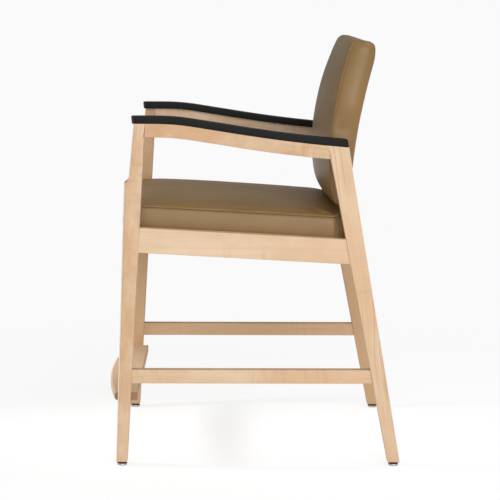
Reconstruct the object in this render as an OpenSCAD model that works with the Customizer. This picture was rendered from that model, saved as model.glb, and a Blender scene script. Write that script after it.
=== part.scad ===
// High patient chair: two wooden side frames with black arm caps, an upholstered seat and back,
// a bowed foot board between the front legs, and levelling glides.
// Millimetres. The front faces -Y, +Z is up, and the floor is at Z = 0. Left is the sitter's left, +X.
// Places along Y are measured from the front glides, and chair_frame() moves them to the middle.

/* [Overall] */
// Width across the side frames
overall_w = 610; // [590:1:630]
// Thickness of the legs and arm rails, across the chair
frame_t = 30; // [29:0.5:33]
// Distance between the front and rear glides
foot_spacing = 595.7; // [592:0.1:604]

/* [Front legs] */
// Wood of a front foot ahead of its glide
front_foot_ahead = 13.2; // [12.5:0.1:15]
// Wood of a front foot behind its glide
front_foot_behind = 11.8; // [11.5:0.1:14]
// Lean of the front edge below the step, in degrees
front_edge_lean = 1.94; // [1.6:0.02:2.2]
// Lean of the rear edge, in degrees
front_back_lean = 3.15; // [2.9:0.05:3.4]
// Lean of the front edge above the step, in degrees
post_lean = 5.3; // [4.8:0.1:5.8]
// Depth of the front post under the arm cap
post_top_d = 24.5; // [23:0.5:26]
// Height of the step's centre
step_z = 642; // [636:1:648]
// Radius of the cove at the step
step_r = 22; // [18:0.5:24]

/* [Rear legs] */
// Depth of a rear foot
rear_foot_d = 27.4; // [26:0.1:30]
// Lean of a rear leg's front edge, in degrees
rear_front_lean = 11.17; // [10.9:0.05:11.5]
// Lean of a rear leg's rear edge, in degrees
rear_back_lean = 9.85; // [9.6:0.05:10.1]

/* [Arms] */
// Height of the arm cap's underside at the front
arm_z = 749.5; // [740:0.5:765]
// Depth of an arm rail
arm_rail_d = 29; // [26:0.5:32]
// End of the level stretch of the arm
arm_level_y = 75; // [65:1:85]
// Radius of the bend down
arm_down_r = 516; // [480:1:560]
// Steepest slope of the arm, in degrees
arm_slope = 8.8; // [8:0.1:9.4]
// Length of the straight slope, along Y
arm_straight_l = 100; // [80:1:120]
// Radius of the bend back up
arm_up_r = 3120; // [2900:10:3400]
// Thickness of an arm cap
cap_t = 15.5; // [13:0.5:18]
// Width of an arm cap
cap_w = 46; // [42:0.5:46.5]
// Overhang of an arm cap ahead of its leg
cap_overhang = 4.6; // [2:0.1:6]

/* [Seat frame] */
// Height of the side rails' top line above the front glides
seat_line_z = 527.25; // [522:0.25:535]
// Slope of the seat down to the rear, in degrees
seat_tilt = 3; // [2.6:0.1:3.4]
// Depth of a side rail
side_rail_d = 54; // [52:0.5:58]
// Inset of the side rails from the legs' outer faces
side_rail_inset = 3; // [2:0.5:4]
// Depth of the front and rear cross rails
cross_rail_d = 34; // [33:0.5:36]
// Thickness of the cross rails
cross_rail_t = 26; // [24:0.5:27]
// Place of the front cross rail's front face
front_rail_y = 8; // [7:0.5:9]
// Set-back of the rear cross rail from the rear legs' front edges
rear_rail_inset = 5.2; // [4.2:0.1:7.2]
// Side of a corner block
block_side = 70; // [68:1:76]
// Height of a corner block
block_h = 30; // [28:0.5:32]

/* [Stretchers and foot board] */
// Height of the side stretchers' underside
stretcher_z = 184; // [180:1:190]
// Depth of a side stretcher
stretcher_d = 30.5; // [28:0.5:32]
// Thickness of a side stretcher
stretcher_t = 22; // [20:0.5:23]
// Inset of the side stretchers from the legs' outer faces
stretcher_inset = 4; // [3:0.5:5]
// Height of the foot board's underside
board_z = 141.5; // [138:0.5:148]
// Thickness of the foot board
board_t = 17.5; // [16:0.5:19]
// Front of the foot board's bow ahead of the front glides
board_ahead = 40; // [36:1:46]
// Rear edge of the foot board behind the front glides
board_behind = 33.6; // [31:0.2:36]
// Radius of the bowed front edge, seen from above
board_bow_r = 1655; // [1500:5:1900]
// Radius of the board's rounded front edge
board_edge_r = 6; // [4:0.5:7]

/* [Seat cushion] */
// Space between the cushion's seam and a front leg
seat_side_space = 9; // [7:0.5:13]
// Front of the cushion behind the front glides
seat_front_y = 2.5; // [0:0.5:5]
// Rear of the cushion behind the rear legs' front edges
seat_past_legs = 28.5; // [24.5:0.5:32.5]
// Space between the cushion's notches and the rear legs
seat_notch_space = 14.5; // [12.5:0.5:17.5]
// Depth of those notches, from each side
seat_notch_w = 26; // [22:0.5:30]
// Drop of the deck's underside below the side rails' top line
deck_drop = 20; // [18:0.5:21]
// Thickness of the deck
deck_t = 12; // [10:0.5:13]
// Height of the boxing, from the deck's underside to the seam
seat_boxing_h = 62; // [58:0.5:66]
// Rise of the crown above the seam
seat_crown = 29; // [24:0.5:33]
// How far the sides are drawn in between the corners
seat_draw = 3; // [0:0.5:5]

/* [Back] */
// Space between the back's seam and a rear leg
back_side_space = 17; // [16.5:0.5:23]
// Height of the back's lower edge
back_low_z = 564; // [562:0.5:570]
// Height of the back's upper corners
back_top_z = 919; // [912:1:928]
// Rise of the upper edge between its corners
back_top_bow = 15; // [8:0.5:18]
// Rear face of the back ahead of the rear glides, where it is upright
back_rear_ahead = 100; // [99:0.2:102.6]
// Height at which the rear face is upright
back_upright_z = 521; // [515:1:528]
// Radius of the rear face's curve, seen from the side
back_curve_r = 1330; // [1280:5:1400]
// Thickness of the back at its boxing
back_boxing_h = 62; // [60:0.5:64.5]
// Rise of the crown ahead of the seam
back_crown = 26; // [22:0.5:30]
// Height below which the back thins towards its lower edge
back_full_z = 738; // [730:1:748]
// Height at which the thinning curve would end
back_thin_z = 558; // [553:1:560]
// How far the sides are drawn in between the corners
back_draw = 3; // [2.5:0.5:5]
// Thickness of the curved back panel
back_panel_t = 12; // [11:0.5:13]
// Diameter of the pins that hold the back between the rear legs
pin_d = 10; // [9:0.5:10.5]

/* [Glides] */
// Diameter of a glide
glide_d = 22; // [20:0.5:24]
// Thickness of a glide's steel base
glide_base_h = 4.8; // [4:0.1:5.5]
// Thickness of a glide's rubber ring
glide_ring_h = 4.5; // [4:0.1:5.5]
// Diameter of a glide's threaded stem
glide_stem_d = 8; // [7:0.5:8.5]
// Length of the stem above the ring
glide_stem_l = 23; // [21:0.5:25]

/* [Fastenings] */
// Diameter of the wooden dowels
dowel_d = 8; // [7:0.5:8.5]
// Depth of a dowel in each piece that it joins
dowel_depth = 18; // [16:0.5:19]
// Diameter of a screw's shank
screw_d = 4.2; // [3.8:0.1:4.6]
// Diameter of a screw's head
screw_head_d = 8.4; // [8:0.1:9]
// Diameter of an arm cap bolt
bolt_d = 6; // [5:0.5:6.5]

/* [Hidden] */

wood = "burlywood";
plywood = "tan";
vinyl = "#6f5f47";
foam = "khaki";
moulded = "#2c2e31";
black = "#202020";
rubber = "#32281c";
brass = "goldenrod";
steel = "silver";
$fn = 48;

// Clearances
// Free gap between parts that must stay clear of each other
gap = 0.3;
// Radial gap round a dowel, screw, bolt or pin
glue_gap = 0.05;
// Radial running clearance of a glide's thread
thread_gap = 0.06;
// Overrun of the cuts
over = 1;

// Legs: an edge is [y, z, lean], and leans by that angle from the vertical
inner_x = overall_w / 2 - frame_t;
foot_z = glide_base_h + glide_ring_h + gap;
trim_z = arm_z + cap_t;
front_edge = [-front_foot_ahead, foot_z, front_edge_lean];
front_back_edge = [front_foot_behind, foot_z, front_back_lean];
post_edge = [edge_y(front_back_edge, arm_z) - post_top_d, arm_z, post_lean];
rear_front_edge = [foot_spacing - rear_foot_d / 2, foot_z, -rear_front_lean];
rear_back_edge = [foot_spacing + rear_foot_d / 2, foot_z, -rear_back_lean];

function edge_y(edge, z) = edge[0] + (z - edge[1]) * tan(edge[2]);

// The shift that puts the middle of the chair's depth at Y = 0
origin_y = (board_ahead - rear_back_edge[0]) / 2;

// Arm line: level, a bend down, a straight slope and a slow bend back up
arm_bend_y = arm_level_y + arm_down_r * sin(arm_slope);
arm_rise_y = arm_bend_y + arm_straight_l;
arm_bend_drop = arm_down_r * (1 - cos(arm_slope));
arm_rise_drop = arm_bend_drop + arm_straight_l * tan(arm_slope);
arm_up_y = arm_rise_y + arm_up_r * sin(arm_slope);
arm_bend_steps = 6;
arm_rise_steps = 12;

function arm_drop(y) =
    y <= arm_level_y ? 0 :
    y <= arm_bend_y ? arm_down_r - sqrt(arm_down_r ^ 2 - (y - arm_level_y) ^ 2) :
    y <= arm_rise_y ? arm_bend_drop + (y - arm_bend_y) * tan(arm_slope) :
    arm_rise_drop - arm_up_r * cos(arm_slope) + sqrt(arm_up_r ^ 2 - (y - arm_up_y) ^ 2);
function stations(a, b, n) = [for (i = [0:n]) a + (b - a) * i / n];

// Ends of the arm line, and the places along it where its outline turns
arm_front_y = edge_y(post_edge, arm_z) - cap_overhang;
arm_end_z = arm_z - arm_drop(edge_y(rear_back_edge, arm_z - arm_rise_drop));
cap_end_y = edge_y(rear_back_edge, arm_end_z);
arm_back_y = cap_end_y + frame_t;
arm_ys = concat(
    [arm_front_y],
    stations(arm_level_y, arm_bend_y, arm_bend_steps),
    stations(arm_rise_y, arm_back_y, arm_rise_steps)
);
// Height of the dowels at the rear end of an arm rail
arm_joint_y = edge_y(rear_front_edge, arm_z - arm_rise_drop - arm_rail_d);
arm_joint_z = arm_z - arm_drop(arm_joint_y) - arm_rail_d / 2;
arm_dowel_shares = [0.27, 0.73];

// Seat frame: y runs along the side rails' top line to the rear, and z is square to it
deck_z = -deck_drop;
cross_rail_z = deck_z - cross_rail_d;
rail_mid_x = inner_x + (frame_t - side_rail_inset) / 2;
front_block_y = front_rail_y + cross_rail_t;
rear_rail_y = seat_edge_y(rear_front_edge, cross_rail_z + cross_rail_d / 2) + rear_rail_inset;
// Heights of the dowels, as shares of a side rail's, a cross rail's and a stretcher's depth
side_dowel_shares = [0.22, 0.69];
cross_dowel_shares = [0.18, 0.82];
stretcher_dowel_shares = [0.25, 0.75];

// Place on the sloping seat line where a leg's edge crosses it, z above the line
function seat_edge_y(edge, z) =
    (edge_y(edge, seat_line_z) + z * (tan(edge[2]) * cos(seat_tilt) - sin(seat_tilt)))
    / (cos(seat_tilt) + tan(edge[2]) * sin(seat_tilt));

// Screws: wood left under a head, a head's height, and a screw's length in the piece that it holds
head_seat = 15;
screw_head_h = 3;
screw_bite = 18;
block_screw_share = 0.57;
deck_screw_x_share = 0.71;
deck_screw_y_share = 0.14;
deck_screw_bite = deck_t * 0.75;

// Upholstery: the cover's thickness with the fibre wrap under it
cover_wall = 4;
outline_step = 60;
corner_steps = 3;
// Rows of a crowned panel, as shares of the way from its middle to its seam
panel_shares = [0.16, 0.36, 0.56, 0.72, 0.84, 0.92, 0.97, 1];
lining_shares = [0.3, 0.6, 0.84, 0.95, 1];
// Rows of the boxing where it bulges, as shares of its height
bulge_shares = [0.7, 0.3];

// Seat cushion
seat_half_w = inner_x - seat_side_space;
seat_leg_y = seat_edge_y(rear_front_edge, 0);
seat_behind = seat_leg_y + seat_past_legs;
seat_notch_y = seat_leg_y - seat_notch_space;
seat_mid_y = (seat_behind + seat_front_y) / 2;
seat_half_d = (seat_behind - seat_front_y) / 2;
seat_corner_r = 22;
notch_r = 9;
seat_bulge = 2.5;
// How steeply the crown ends at the sides, and at the front and rear
seat_falls = [3, 10];
// Part of the crown that is lost slowly over the whole panel
seat_slope_share = 0.3;
deck_edge = seat_draw + cover_wall + gap;
dust_t = 0.8;
dust_margin = 6;

// Back
back_half_w = inner_x - back_side_space;
back_rear_y = foot_spacing - back_rear_ahead;
back_mid_z = (back_low_z + back_top_z) / 2;
back_half_h = (back_top_z - back_low_z) / 2;
back_corner_r = 18;
back_bulge = 3;
back_falls = [2.6, 9];
// Part of the crown that is lost slowly over the whole panel
back_slope_share = 0.3;
// Part of the upper edge's rise that is left at the rear face
back_rear_bow_share = 0.4;
// The lip that wraps behind the panel, and the roundness of the rear edge
back_lip = 12;
back_round = 8;
back_round_inset = 3;
// Thinnest that the lower edge gets, as a share of the full thickness
back_thin_share = 0.3;
// Powers of the curve that thins the back towards its lower edge
back_thin_powers = [1.8, 0.4];
// Share of the thickness that the back loses from its shoulders to its middle, and over what height
back_slim_share = 0.055;
back_slim_h = 110;
// Clearance where the forms' facets cut across the rear face's curve
back_facet_gap = 0.8;
// Place of the panel, ahead of the rear cover
back_panel_w = cover_wall + back_facet_gap;
back_panel_side = 16;
back_panel_rise = 26;
back_panel_drop = 16;
back_steps = 10;
// Cleats: width, thickness, height, and rise above the back's lower edge
cleat_w = 24;
cleat_t = 22;
cleat_h = 90;
cleat_rise = 34;
cleat_low_z = back_low_z + cleat_rise;
cleat_near = back_round + gap;
cleat_x = back_half_w - back_draw - cover_wall - gap - cleat_w;
pin_zs = [cleat_low_z + cleat_w, cleat_low_z + cleat_h - cleat_w];
pin_w = cleat_near + cleat_t / 2;
pin_depth = 18;
spacer_wall = 4;

// Foot board: the bow's centre, and the dowels' places as shares of the leg's depth
bow_y = board_bow_r - board_ahead;
bow_steps = 720;
board_dowel_shares = [0.28, 0.74];

// Glides
insert_d = 11;
insert_l = 15;
stem_room = 3;
stem_clear = 2;
stem_seat = 2.4;
stem_hole_l = glide_stem_l + stem_room;

// Arm cap bolts: places along the arm, heads, and the inserts that they screw into
bolt_first = 35;
bolt_last = 145;
bolt_ys = [arm_level_y + bolt_first, arm_rise_y, arm_rise_y + bolt_last];
bolt_x = inner_x + frame_t / 2;
bolt_head_d = 11;
bolt_head_h = 3.5;
bolt_sink = 9;
cap_insert_d = 9.4;
cap_insert_l = 9;
// Rounding of a cap's corners, seen from above
cap_corner_r = 4;
// Lift of an insert's end above the sloping wood
cap_insert_lift = 0.9;

// Frames and helpers
module chair_frame() translate([0, origin_y, 0]) children();
module both_sides() {
    children();
    mirror([1, 0, 0]) children();
}
module right_side() mirror([1, 0, 0]) children();
// An outline in Y and Z, given a thickness along X
module plate(x, t) translate([x, 0, 0]) rotate([90, 0, 90]) linear_extrude(t) children();
module seat_frame() translate([0, 0, seat_line_z]) rotate([-seat_tilt, 0, 0]) children();
module bar_x(d, l) rotate([0, 90, 0]) cylinder(d = d, h = l);
module bar_y(d, l) rotate([-90, 0, 0]) cylinder(d = d, h = l);
// A dowel centred on a joint, or its hole where fit is above zero
module dowel_x(fit) translate([-dowel_depth - fit, 0, 0]) bar_x(dowel_d + 2 * fit, 2 * (dowel_depth + fit));
module dowel_y(fit) translate([0, -dowel_depth - fit, 0]) bar_y(dowel_d + 2 * fit, 2 * (dowel_depth + fit));

// Outlines of the side frame, in Y and Z
module under_arm() polygon(concat(
    [for (y = arm_ys) [y, arm_z - arm_drop(y)]],
    [[foot_spacing + frame_t, arm_z - arm_drop(arm_back_y)],
     [foot_spacing + frame_t, 0],
     [arm_front_y - foot_spacing, 0],
     [arm_front_y - foot_spacing, arm_z]]
));
// A band along the arm line, from one height above it to another
module arm_band(low, high) polygon(concat(
    [for (y = arm_ys) [y, arm_z - arm_drop(y) + low]],
    [for (i = [len(arm_ys) - 1:-1:0]) [arm_ys[i], arm_z - arm_drop(arm_ys[i]) + high]]
));
module leg_edges(front, back, low, high) polygon([
    [edge_y(front, low), low],
    [edge_y(front, high), high],
    [edge_y(back, high), high],
    [edge_y(back, low), low]
]);
module front_leg_outline() difference() {
    intersection() {
        union() {
            leg_edges(front_edge, front_back_edge, foot_z, step_z);
            leg_edges(post_edge, front_back_edge, step_z, trim_z);
        }
        under_arm();
    }
    translate([edge_y(post_edge, step_z) - step_r, step_z]) circle(r = step_r);
}
module rear_leg_outline() intersection() {
    leg_edges(rear_front_edge, rear_back_edge, foot_z, trim_z);
    under_arm();
}
module between_legs() leg_edges(front_back_edge, rear_front_edge, foot_z, trim_z);

// Dowels of the left side, as pieces, or as holes where fit is above zero
module side_rail_dowel_set(fit) seat_frame() for (share = side_dowel_shares) {
    z = -side_rail_d * share;
    translate([rail_mid_x, seat_edge_y(front_back_edge, z), z]) dowel_y(fit);
    translate([rail_mid_x, seat_edge_y(rear_front_edge, z), z]) dowel_y(fit);
}
module cross_rail_dowel_set(fit) seat_frame() for (share = cross_dowel_shares, y = [front_rail_y, rear_rail_y])
    translate([inner_x, y + cross_rail_t / 2, cross_rail_z + cross_rail_d * share]) dowel_x(fit);
module stretcher_dowel_set(fit) for (share = stretcher_dowel_shares) {
    x = inner_x + frame_t - stretcher_inset - stretcher_t / 2;
    z = stretcher_z + stretcher_d * share;
    translate([x, edge_y(front_back_edge, z), z]) dowel_y(fit);
    translate([x, edge_y(rear_front_edge, z), z]) dowel_y(fit);
}
module arm_rail_dowel_set(fit) for (share = arm_dowel_shares) {
    x = inner_x + frame_t * share;
    z = arm_z - arm_rail_d / 2;
    translate([x, edge_y(front_back_edge, z), z]) dowel_y(fit);
    translate([x, edge_y(rear_front_edge, arm_joint_z), arm_joint_z]) dowel_y(fit);
}
module board_dowel_set(fit) {
    z = board_z + board_t / 2;
    front = edge_y(front_edge, z);
    depth = edge_y(front_back_edge, z) - front;
    for (share = board_dowel_shares)
        translate([inner_x, front + depth * share, z]) dowel_x(fit);
}

// The back's rear face, and its thinning towards the lower edge
function back_face_y(z) =
    back_rear_y + back_curve_r - sqrt(back_curve_r ^ 2 - (z - back_upright_z) ^ 2);
function back_slim(z) =
    let (t = min(1, max(0, (back_full_z - z) / back_slim_h + 1)))
    1 - back_slim_share * t ^ 2 * (3 - 2 * t);
function back_thin(z) =
    let (u = min(1, max(0, (back_full_z - z) / (back_full_z - back_thin_z))))
    back_slim(z) * max(back_thin_share, (1 - u ^ back_thin_powers[0]) ^ back_thin_powers[1]);

// Pins between the rear legs and the back's cleats, with the spacers round them
module pin_places() for (z = pin_zs) translate([0, back_face_y(z) - pin_w, z]) children();
module pin_set(fit) pin_places()
    translate([cleat_x + cleat_w - pin_depth - fit, 0, 0])
        bar_x(pin_d + 2 * fit, inner_x + pin_depth - cleat_x - cleat_w + pin_depth + 2 * fit);
module spacer_holes() pin_places()
    translate([cleat_x + cleat_w - over, 0, 0]) bar_x(pin_d + 2 * (spacer_wall + gap), inner_x - cleat_x);

// Holes for a glide's insert and stem, up from the foot at y
module glide_hole(y) translate([inner_x + frame_t / 2, y, 0]) {
    translate([0, 0, foot_z - over]) cylinder(d = insert_d + 2 * glue_gap, h = insert_l + over);
    translate([0, 0, foot_z - over]) cylinder(d = glide_stem_d + stem_clear, h = stem_hole_l + over);
}

// Left side frame
module left_front_leg() color(wood) difference() {
    plate(inner_x, frame_t) front_leg_outline();
    side_rail_dowel_set(glue_gap);
    cross_rail_dowel_set(glue_gap);
    stretcher_dowel_set(glue_gap);
    arm_rail_dowel_set(glue_gap);
    board_dowel_set(glue_gap);
    glide_hole(0);
}
module left_rear_leg() color(wood) difference() {
    plate(inner_x, frame_t) rear_leg_outline();
    side_rail_dowel_set(glue_gap);
    cross_rail_dowel_set(glue_gap);
    stretcher_dowel_set(glue_gap);
    arm_rail_dowel_set(glue_gap);
    pin_set(glue_gap);
    glide_hole(foot_spacing);
}
module left_arm_rail() color(wood) difference() {
    plate(inner_x, frame_t) intersection() {
        arm_band(-arm_rail_d, 0);
        between_legs();
    }
    arm_rail_dowel_set(glue_gap);
    bolt_places() {
        translate([0, 0, -arm_rail_d - over]) cylinder(d = bolt_d + 2 * glue_gap, h = arm_rail_d + 2 * over);
        translate([0, 0, -arm_rail_d - over]) cylinder(d = bolt_head_d + 2 * gap, h = bolt_sink + over);
    }
}
// An outline seen from above, with rounded corners
module rounded_plan(w, l, r) {
    translate([r, 0]) square([w - 2 * r, l]);
    translate([0, r]) square([w, l - 2 * r]);
    for (x = [r, w - r], y = [r, l - r]) translate([x, y]) circle(r = r);
}
module left_arm_cap() color(moulded) difference() {
    intersection() {
        plate(inner_x + frame_t - cap_w, cap_w) intersection() {
            arm_band(0, cap_t);
            leg_edges([arm_front_y - over, 0, 0], rear_back_edge, 0, trim_z + cap_t);
        }
        translate([inner_x + frame_t - cap_w, arm_front_y, 0]) linear_extrude(trim_z + cap_t)
            rounded_plan(cap_w, cap_end_y - arm_front_y, cap_corner_r);
    }
    bolt_places() translate([0, 0, -over])
        cylinder(d = cap_insert_d + 2 * glue_gap, h = cap_insert_lift + cap_insert_l + over + glue_gap);
}
module left_side_rail() color(wood) difference() {
    plate(inner_x, frame_t - side_rail_inset) intersection() {
        translate([0, seat_line_z]) rotate(-seat_tilt) translate([0, -side_rail_d])
            square([foot_spacing, side_rail_d]);
        between_legs();
    }
    side_rail_dowel_set(glue_gap);
    seat_frame() block_screw_set(glue_gap);
}
module left_stretcher() color(wood) difference() {
    plate(inner_x + frame_t - stretcher_inset - stretcher_t, stretcher_t) intersection() {
        translate([0, stretcher_z]) square([foot_spacing, stretcher_d]);
        between_legs();
    }
    stretcher_dowel_set(glue_gap);
}

// Cross pieces
module cross_rail(y) color(wood) difference() {
    seat_frame() translate([-inner_x, y, cross_rail_z]) cube([2 * inner_x, cross_rail_t, cross_rail_d]);
    both_sides() cross_rail_dowel_set(glue_gap);
    both_sides() seat_frame() block_screw_set(glue_gap);
}
module foot_board() color(wood) difference() {
    intersection() {
        translate([0, bow_y, board_z]) rotate_extrude($fn = bow_steps) {
            square([board_bow_r - board_edge_r, board_t]);
            translate([0, board_edge_r]) square([board_bow_r, board_t - 2 * board_edge_r]);
            for (z = [board_edge_r, board_t - board_edge_r])
                translate([board_bow_r - board_edge_r, z]) circle(r = board_edge_r);
        }
        translate([-inner_x, -2 * board_ahead, board_z - over])
            cube([2 * inner_x, 2 * board_ahead + board_behind, board_t + 2 * over]);
    }
    both_sides() board_dowel_set(glue_gap);
}

// Corner blocks and their screws, in the seat frame. dir is 1 at the front and -1 at the rear
module block_corners() {
    translate([inner_x, front_block_y, deck_z]) children();
    translate([inner_x, rear_rail_y, deck_z]) mirror([0, 1, 0]) children();
}
module block_screw_set(fit) block_corners() translate([0, 0, -block_h / 2]) {
    d = screw_d + 2 * fit;
    l = head_seat + screw_bite + 2 * fit;
    translate([-head_seat - fit, block_side * block_screw_share, 0]) bar_x(d, l);
    translate([-block_side * block_screw_share, -screw_bite - fit, 0]) bar_y(d, l);
}
module block_screw_heads(fit, h) block_corners() translate([0, 0, -block_h / 2]) {
    d = screw_head_d + 2 * fit;
    translate([-head_seat - h, block_side * block_screw_share, 0]) bar_x(d, h);
    translate([-block_side * block_screw_share, head_seat, 0]) bar_y(d, h);
}
module deck_screw_places() block_corners()
    translate([-block_side * deck_screw_x_share, block_side * deck_screw_y_share, -block_h / 2]) children();
module deck_screw_set(fit) deck_screw_places()
    cylinder(d = screw_d + 2 * fit, h = block_h / 2 + deck_screw_bite + fit);

// Arm cap bolts: places on the arm line of the left side
module bolt_places() for (y = bolt_ys) translate([bolt_x, y, arm_z - arm_drop(y)]) children();

// Upholstery outlines. A corner is [x, y, radius]
function unit(v) = v / norm(v);
function corner_arc(p, q, s, r) =
    let (u = unit(p - q), v = unit(s - q), half = acos(u * v) / 2)
    let (mid = q + unit(u + v) * r / sin(half), a = q + u * r / tan(half), b = q + v * r / tan(half))
    [for (i = [0:corner_steps]) mid + r * unit((a - mid) * (1 - i / corner_steps) + (b - mid) * i / corner_steps)];
function flat(p) = [p[0], p[1]];
function rounded(corners) = [
    for (i = [0:len(corners) - 1])
        let (n = len(corners))
        each corner_arc(flat(corners[(i + n - 1) % n]), flat(corners[i]), flat(corners[(i + 1) % n]), corners[i][2])
];
function divided(points) = [
    for (i = [0:len(points) - 1])
        let (a = points[i], b = points[(i + 1) % len(points)], n = ceil(norm(b - a) / outline_step))
        each [for (j = [0:n - 1]) a + (b - a) * j / n]
];
// Sides drawn in between the corners, for an outline of half sizes a and b
function drawn_in(points, a, b, draw) = [
    for (p = points)
        [p[0] * (1 - draw / a * (1 - (p[1] / b) ^ 2) * (p[0] / a) ^ 8),
         p[1] * (1 - draw / b * (1 - (p[0] / a) ^ 2) * (p[1] / b) ^ 8)]
];

seat_notch = seat_notch_y - seat_mid_y;
seat_rear_w = seat_half_w - seat_notch_w;
seat_right_corners = [
    [seat_half_w, -seat_half_d, seat_corner_r],
    [seat_half_w, seat_notch, notch_r],
    [seat_rear_w, seat_notch, notch_r],
    [seat_rear_w, seat_half_d, seat_corner_r]
];
seat_corners = concat(seat_right_corners, [
    for (i = [3:-1:0]) [-seat_right_corners[i][0], seat_right_corners[i][1], seat_right_corners[i][2]]
]);
seat_outline = drawn_in(divided(rounded(seat_corners)), seat_half_w, seat_half_d, seat_draw);

back_corners = [
    for (c = [[1, -1], [1, 1], [-1, 1], [-1, -1]]) [c[0] * back_half_w, c[1] * back_half_h, back_corner_r]
];
back_outline = drawn_in(divided(rounded(back_corners)), back_half_w, back_half_h, back_draw);
// Rise of the upper edge between its corners, full at the seam and less at the rear face
function back_rise(p, w) = p[1] <= 0 ? 0 :
    back_top_bow * (1 - (p[0] / back_half_w) ^ 2) * (p[1] / back_half_h) ^ 8
    * (back_rear_bow_share + (1 - back_rear_bow_share) * min(1, w / back_boxing_h));

// Rows of a form, from the middle of the crown outwards. A row is [scale, height, crown, share]
function crown_rows(shares, scale, seam, crown) = [for (k = shares) [k * scale, seam, crown, k]];
function boxing_rows(scale, heights) = [for (h = heights) [scale, h, 0, 1]];
// Height of a row's point above its seam: the crown falls off in its own way towards each edge
function crown_at(p, k, falls, slope) =
    let (side = p[1] ^ 2 / (p[0] ^ 2 + p[1] ^ 2))
    (1 - slope * k ^ 2) * (1 - k ^ (falls[0] + (falls[1] - falls[0]) * side));
function row_points(outline, row, falls, slope, place) = [
    for (p = outline) place(p * row[0], row[1] + row[2] * crown_at(p, row[3], falls, slope))
];
// A closed skin over rings of points, from a first point to a last one. Rows after the outer ones are
// the lining, split the other way so that its facets lie along the filling's
module skin(first, rings, last, outer) {
    n = len(rings[0]);
    m = len(rings);
    points = concat([first], [for (ring = rings) each ring], [last]);
    start = [for (j = [0:n - 1]) [0, 1 + (j + 1) % n, 1 + j]];
    sides = [
        for (i = [0:m - 2], j = [0:n - 1])
            let (a = 1 + i * n + j, b = 1 + i * n + (j + 1) % n)
            each i < outer ? [[a, b, b + n], [a, b + n, a + n]] : [[a, b, a + n], [b, b + n, a + n]]
    ];
    end = [for (j = [0:n - 1]) [1 + (m - 1) * n + j, 1 + (m - 1) * n + (j + 1) % n, m * n + 1]];
    polyhedron(points, concat(start, sides, end));
}

// Seat: a cover open at the bottom, with foam inside it on a plywood deck
function on_seat(p, w) = [p[0], p[1] + seat_mid_y, deck_z + w];
seat_lining = 1 - cover_wall / seat_half_w;
seat_filling = 1 - (cover_wall + gap) / seat_half_w;
seat_cover_rows = concat(
    crown_rows(panel_shares, 1, seat_boxing_h, seat_crown),
    boxing_rows(1 + seat_bulge / seat_half_w, bulge_shares * seat_boxing_h),
    boxing_rows(1, [0]),
    boxing_rows(seat_lining, [0]),
    crown_rows([for (i = [len(lining_shares) - 1:-1:0]) lining_shares[i]],
        seat_lining, seat_boxing_h - cover_wall, seat_crown)
);
seat_foam_rows = concat(
    crown_rows(lining_shares, seat_filling, seat_boxing_h - cover_wall - gap, seat_crown),
    boxing_rows(seat_filling, [deck_t + gap])
);
module seat_form(rows, outer, top, bottom) skin(
    [0, seat_mid_y, deck_z + top],
    [for (row = rows) row_points(seat_outline, row, seat_falls, seat_slope_share, function(p, w) on_seat(p, w))],
    [0, seat_mid_y, deck_z + bottom],
    outer
);
seat_outer_rows = len(panel_shares) + len(bulge_shares) + 1;
seat_top_w = seat_boxing_h + seat_crown;

// Back: the same kind of cover, bent along the rear face and thinned towards its lower edge
function on_back(p, w) =
    let (z = back_mid_z + p[1], boxing = min(w, back_boxing_h))
    [p[0], back_face_y(z) - boxing * back_thin(z) - (w - boxing), z + back_rise(p, w)];
back_lining = 1 - cover_wall / back_half_w;
back_filling = 1 - (cover_wall + gap) / back_half_w;
back_lip_scale = 1 - back_lip / back_half_w;
back_lip_rows = boxing_rows(back_lip_scale, [0, cover_wall]);
back_cover_rows = concat(
    crown_rows(panel_shares, 1, back_boxing_h, back_crown),
    boxing_rows(1 + back_bulge / back_half_w, bulge_shares * back_boxing_h),
    boxing_rows(1, [back_round]),
    boxing_rows(1 - back_round_inset / back_half_w, [back_round_inset]),
    back_lip_rows,
    boxing_rows(back_lining, [back_round, back_boxing_h - cover_wall]),
    crown_rows([for (i = [len(lining_shares) - 2:-1:0]) lining_shares[i]],
        back_lining, back_boxing_h - cover_wall, back_crown)
);
back_foam_rows = concat(
    crown_rows(lining_shares, back_filling, back_boxing_h - cover_wall - gap, back_crown),
    boxing_rows(back_filling, [back_round + gap]),
    boxing_rows(back_lip_scale, [cover_wall + gap])
);
module back_form(rows, outer, top, bottom) skin(
    on_back([0, 0], top),
    [for (row = rows) row_points(back_outline, row, back_falls, back_slope_share, function(p, w) on_back(p, w))],
    on_back([0, 0], bottom),
    outer
);
back_outer_rows = len(panel_shares) + len(bulge_shares) + len(back_lip_rows) + 1;
back_top_w = back_boxing_h + back_crown;

// A plate that follows the back's rear face, between two distances ahead of it
module back_plate(half_w, low, high, near, far) plate(-half_w, 2 * half_w) polygon(concat(
    [for (z = stations(low, high, back_steps)) [back_face_y(z) - near, z]],
    [for (z = stations(high, low, back_steps)) [back_face_y(z) - far, z]]
));
module cleat_space(clear, width) intersection() {
    back_plate(back_half_w, cleat_low_z - clear, cleat_low_z + cleat_h + clear,
        cleat_near - clear, cleat_near + cleat_t + clear);
    translate([cleat_x - clear, 0, 0]) cube([width + clear, foot_spacing, back_top_z]);
}
back_panel_far = back_panel_w + back_panel_t;
back_panel_half = back_half_w - back_panel_side;
back_cover_low = back_mid_z - back_half_h * back_lip_scale + gap;
back_cover_high = back_mid_z + back_half_h * back_lip_scale - gap;

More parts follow.
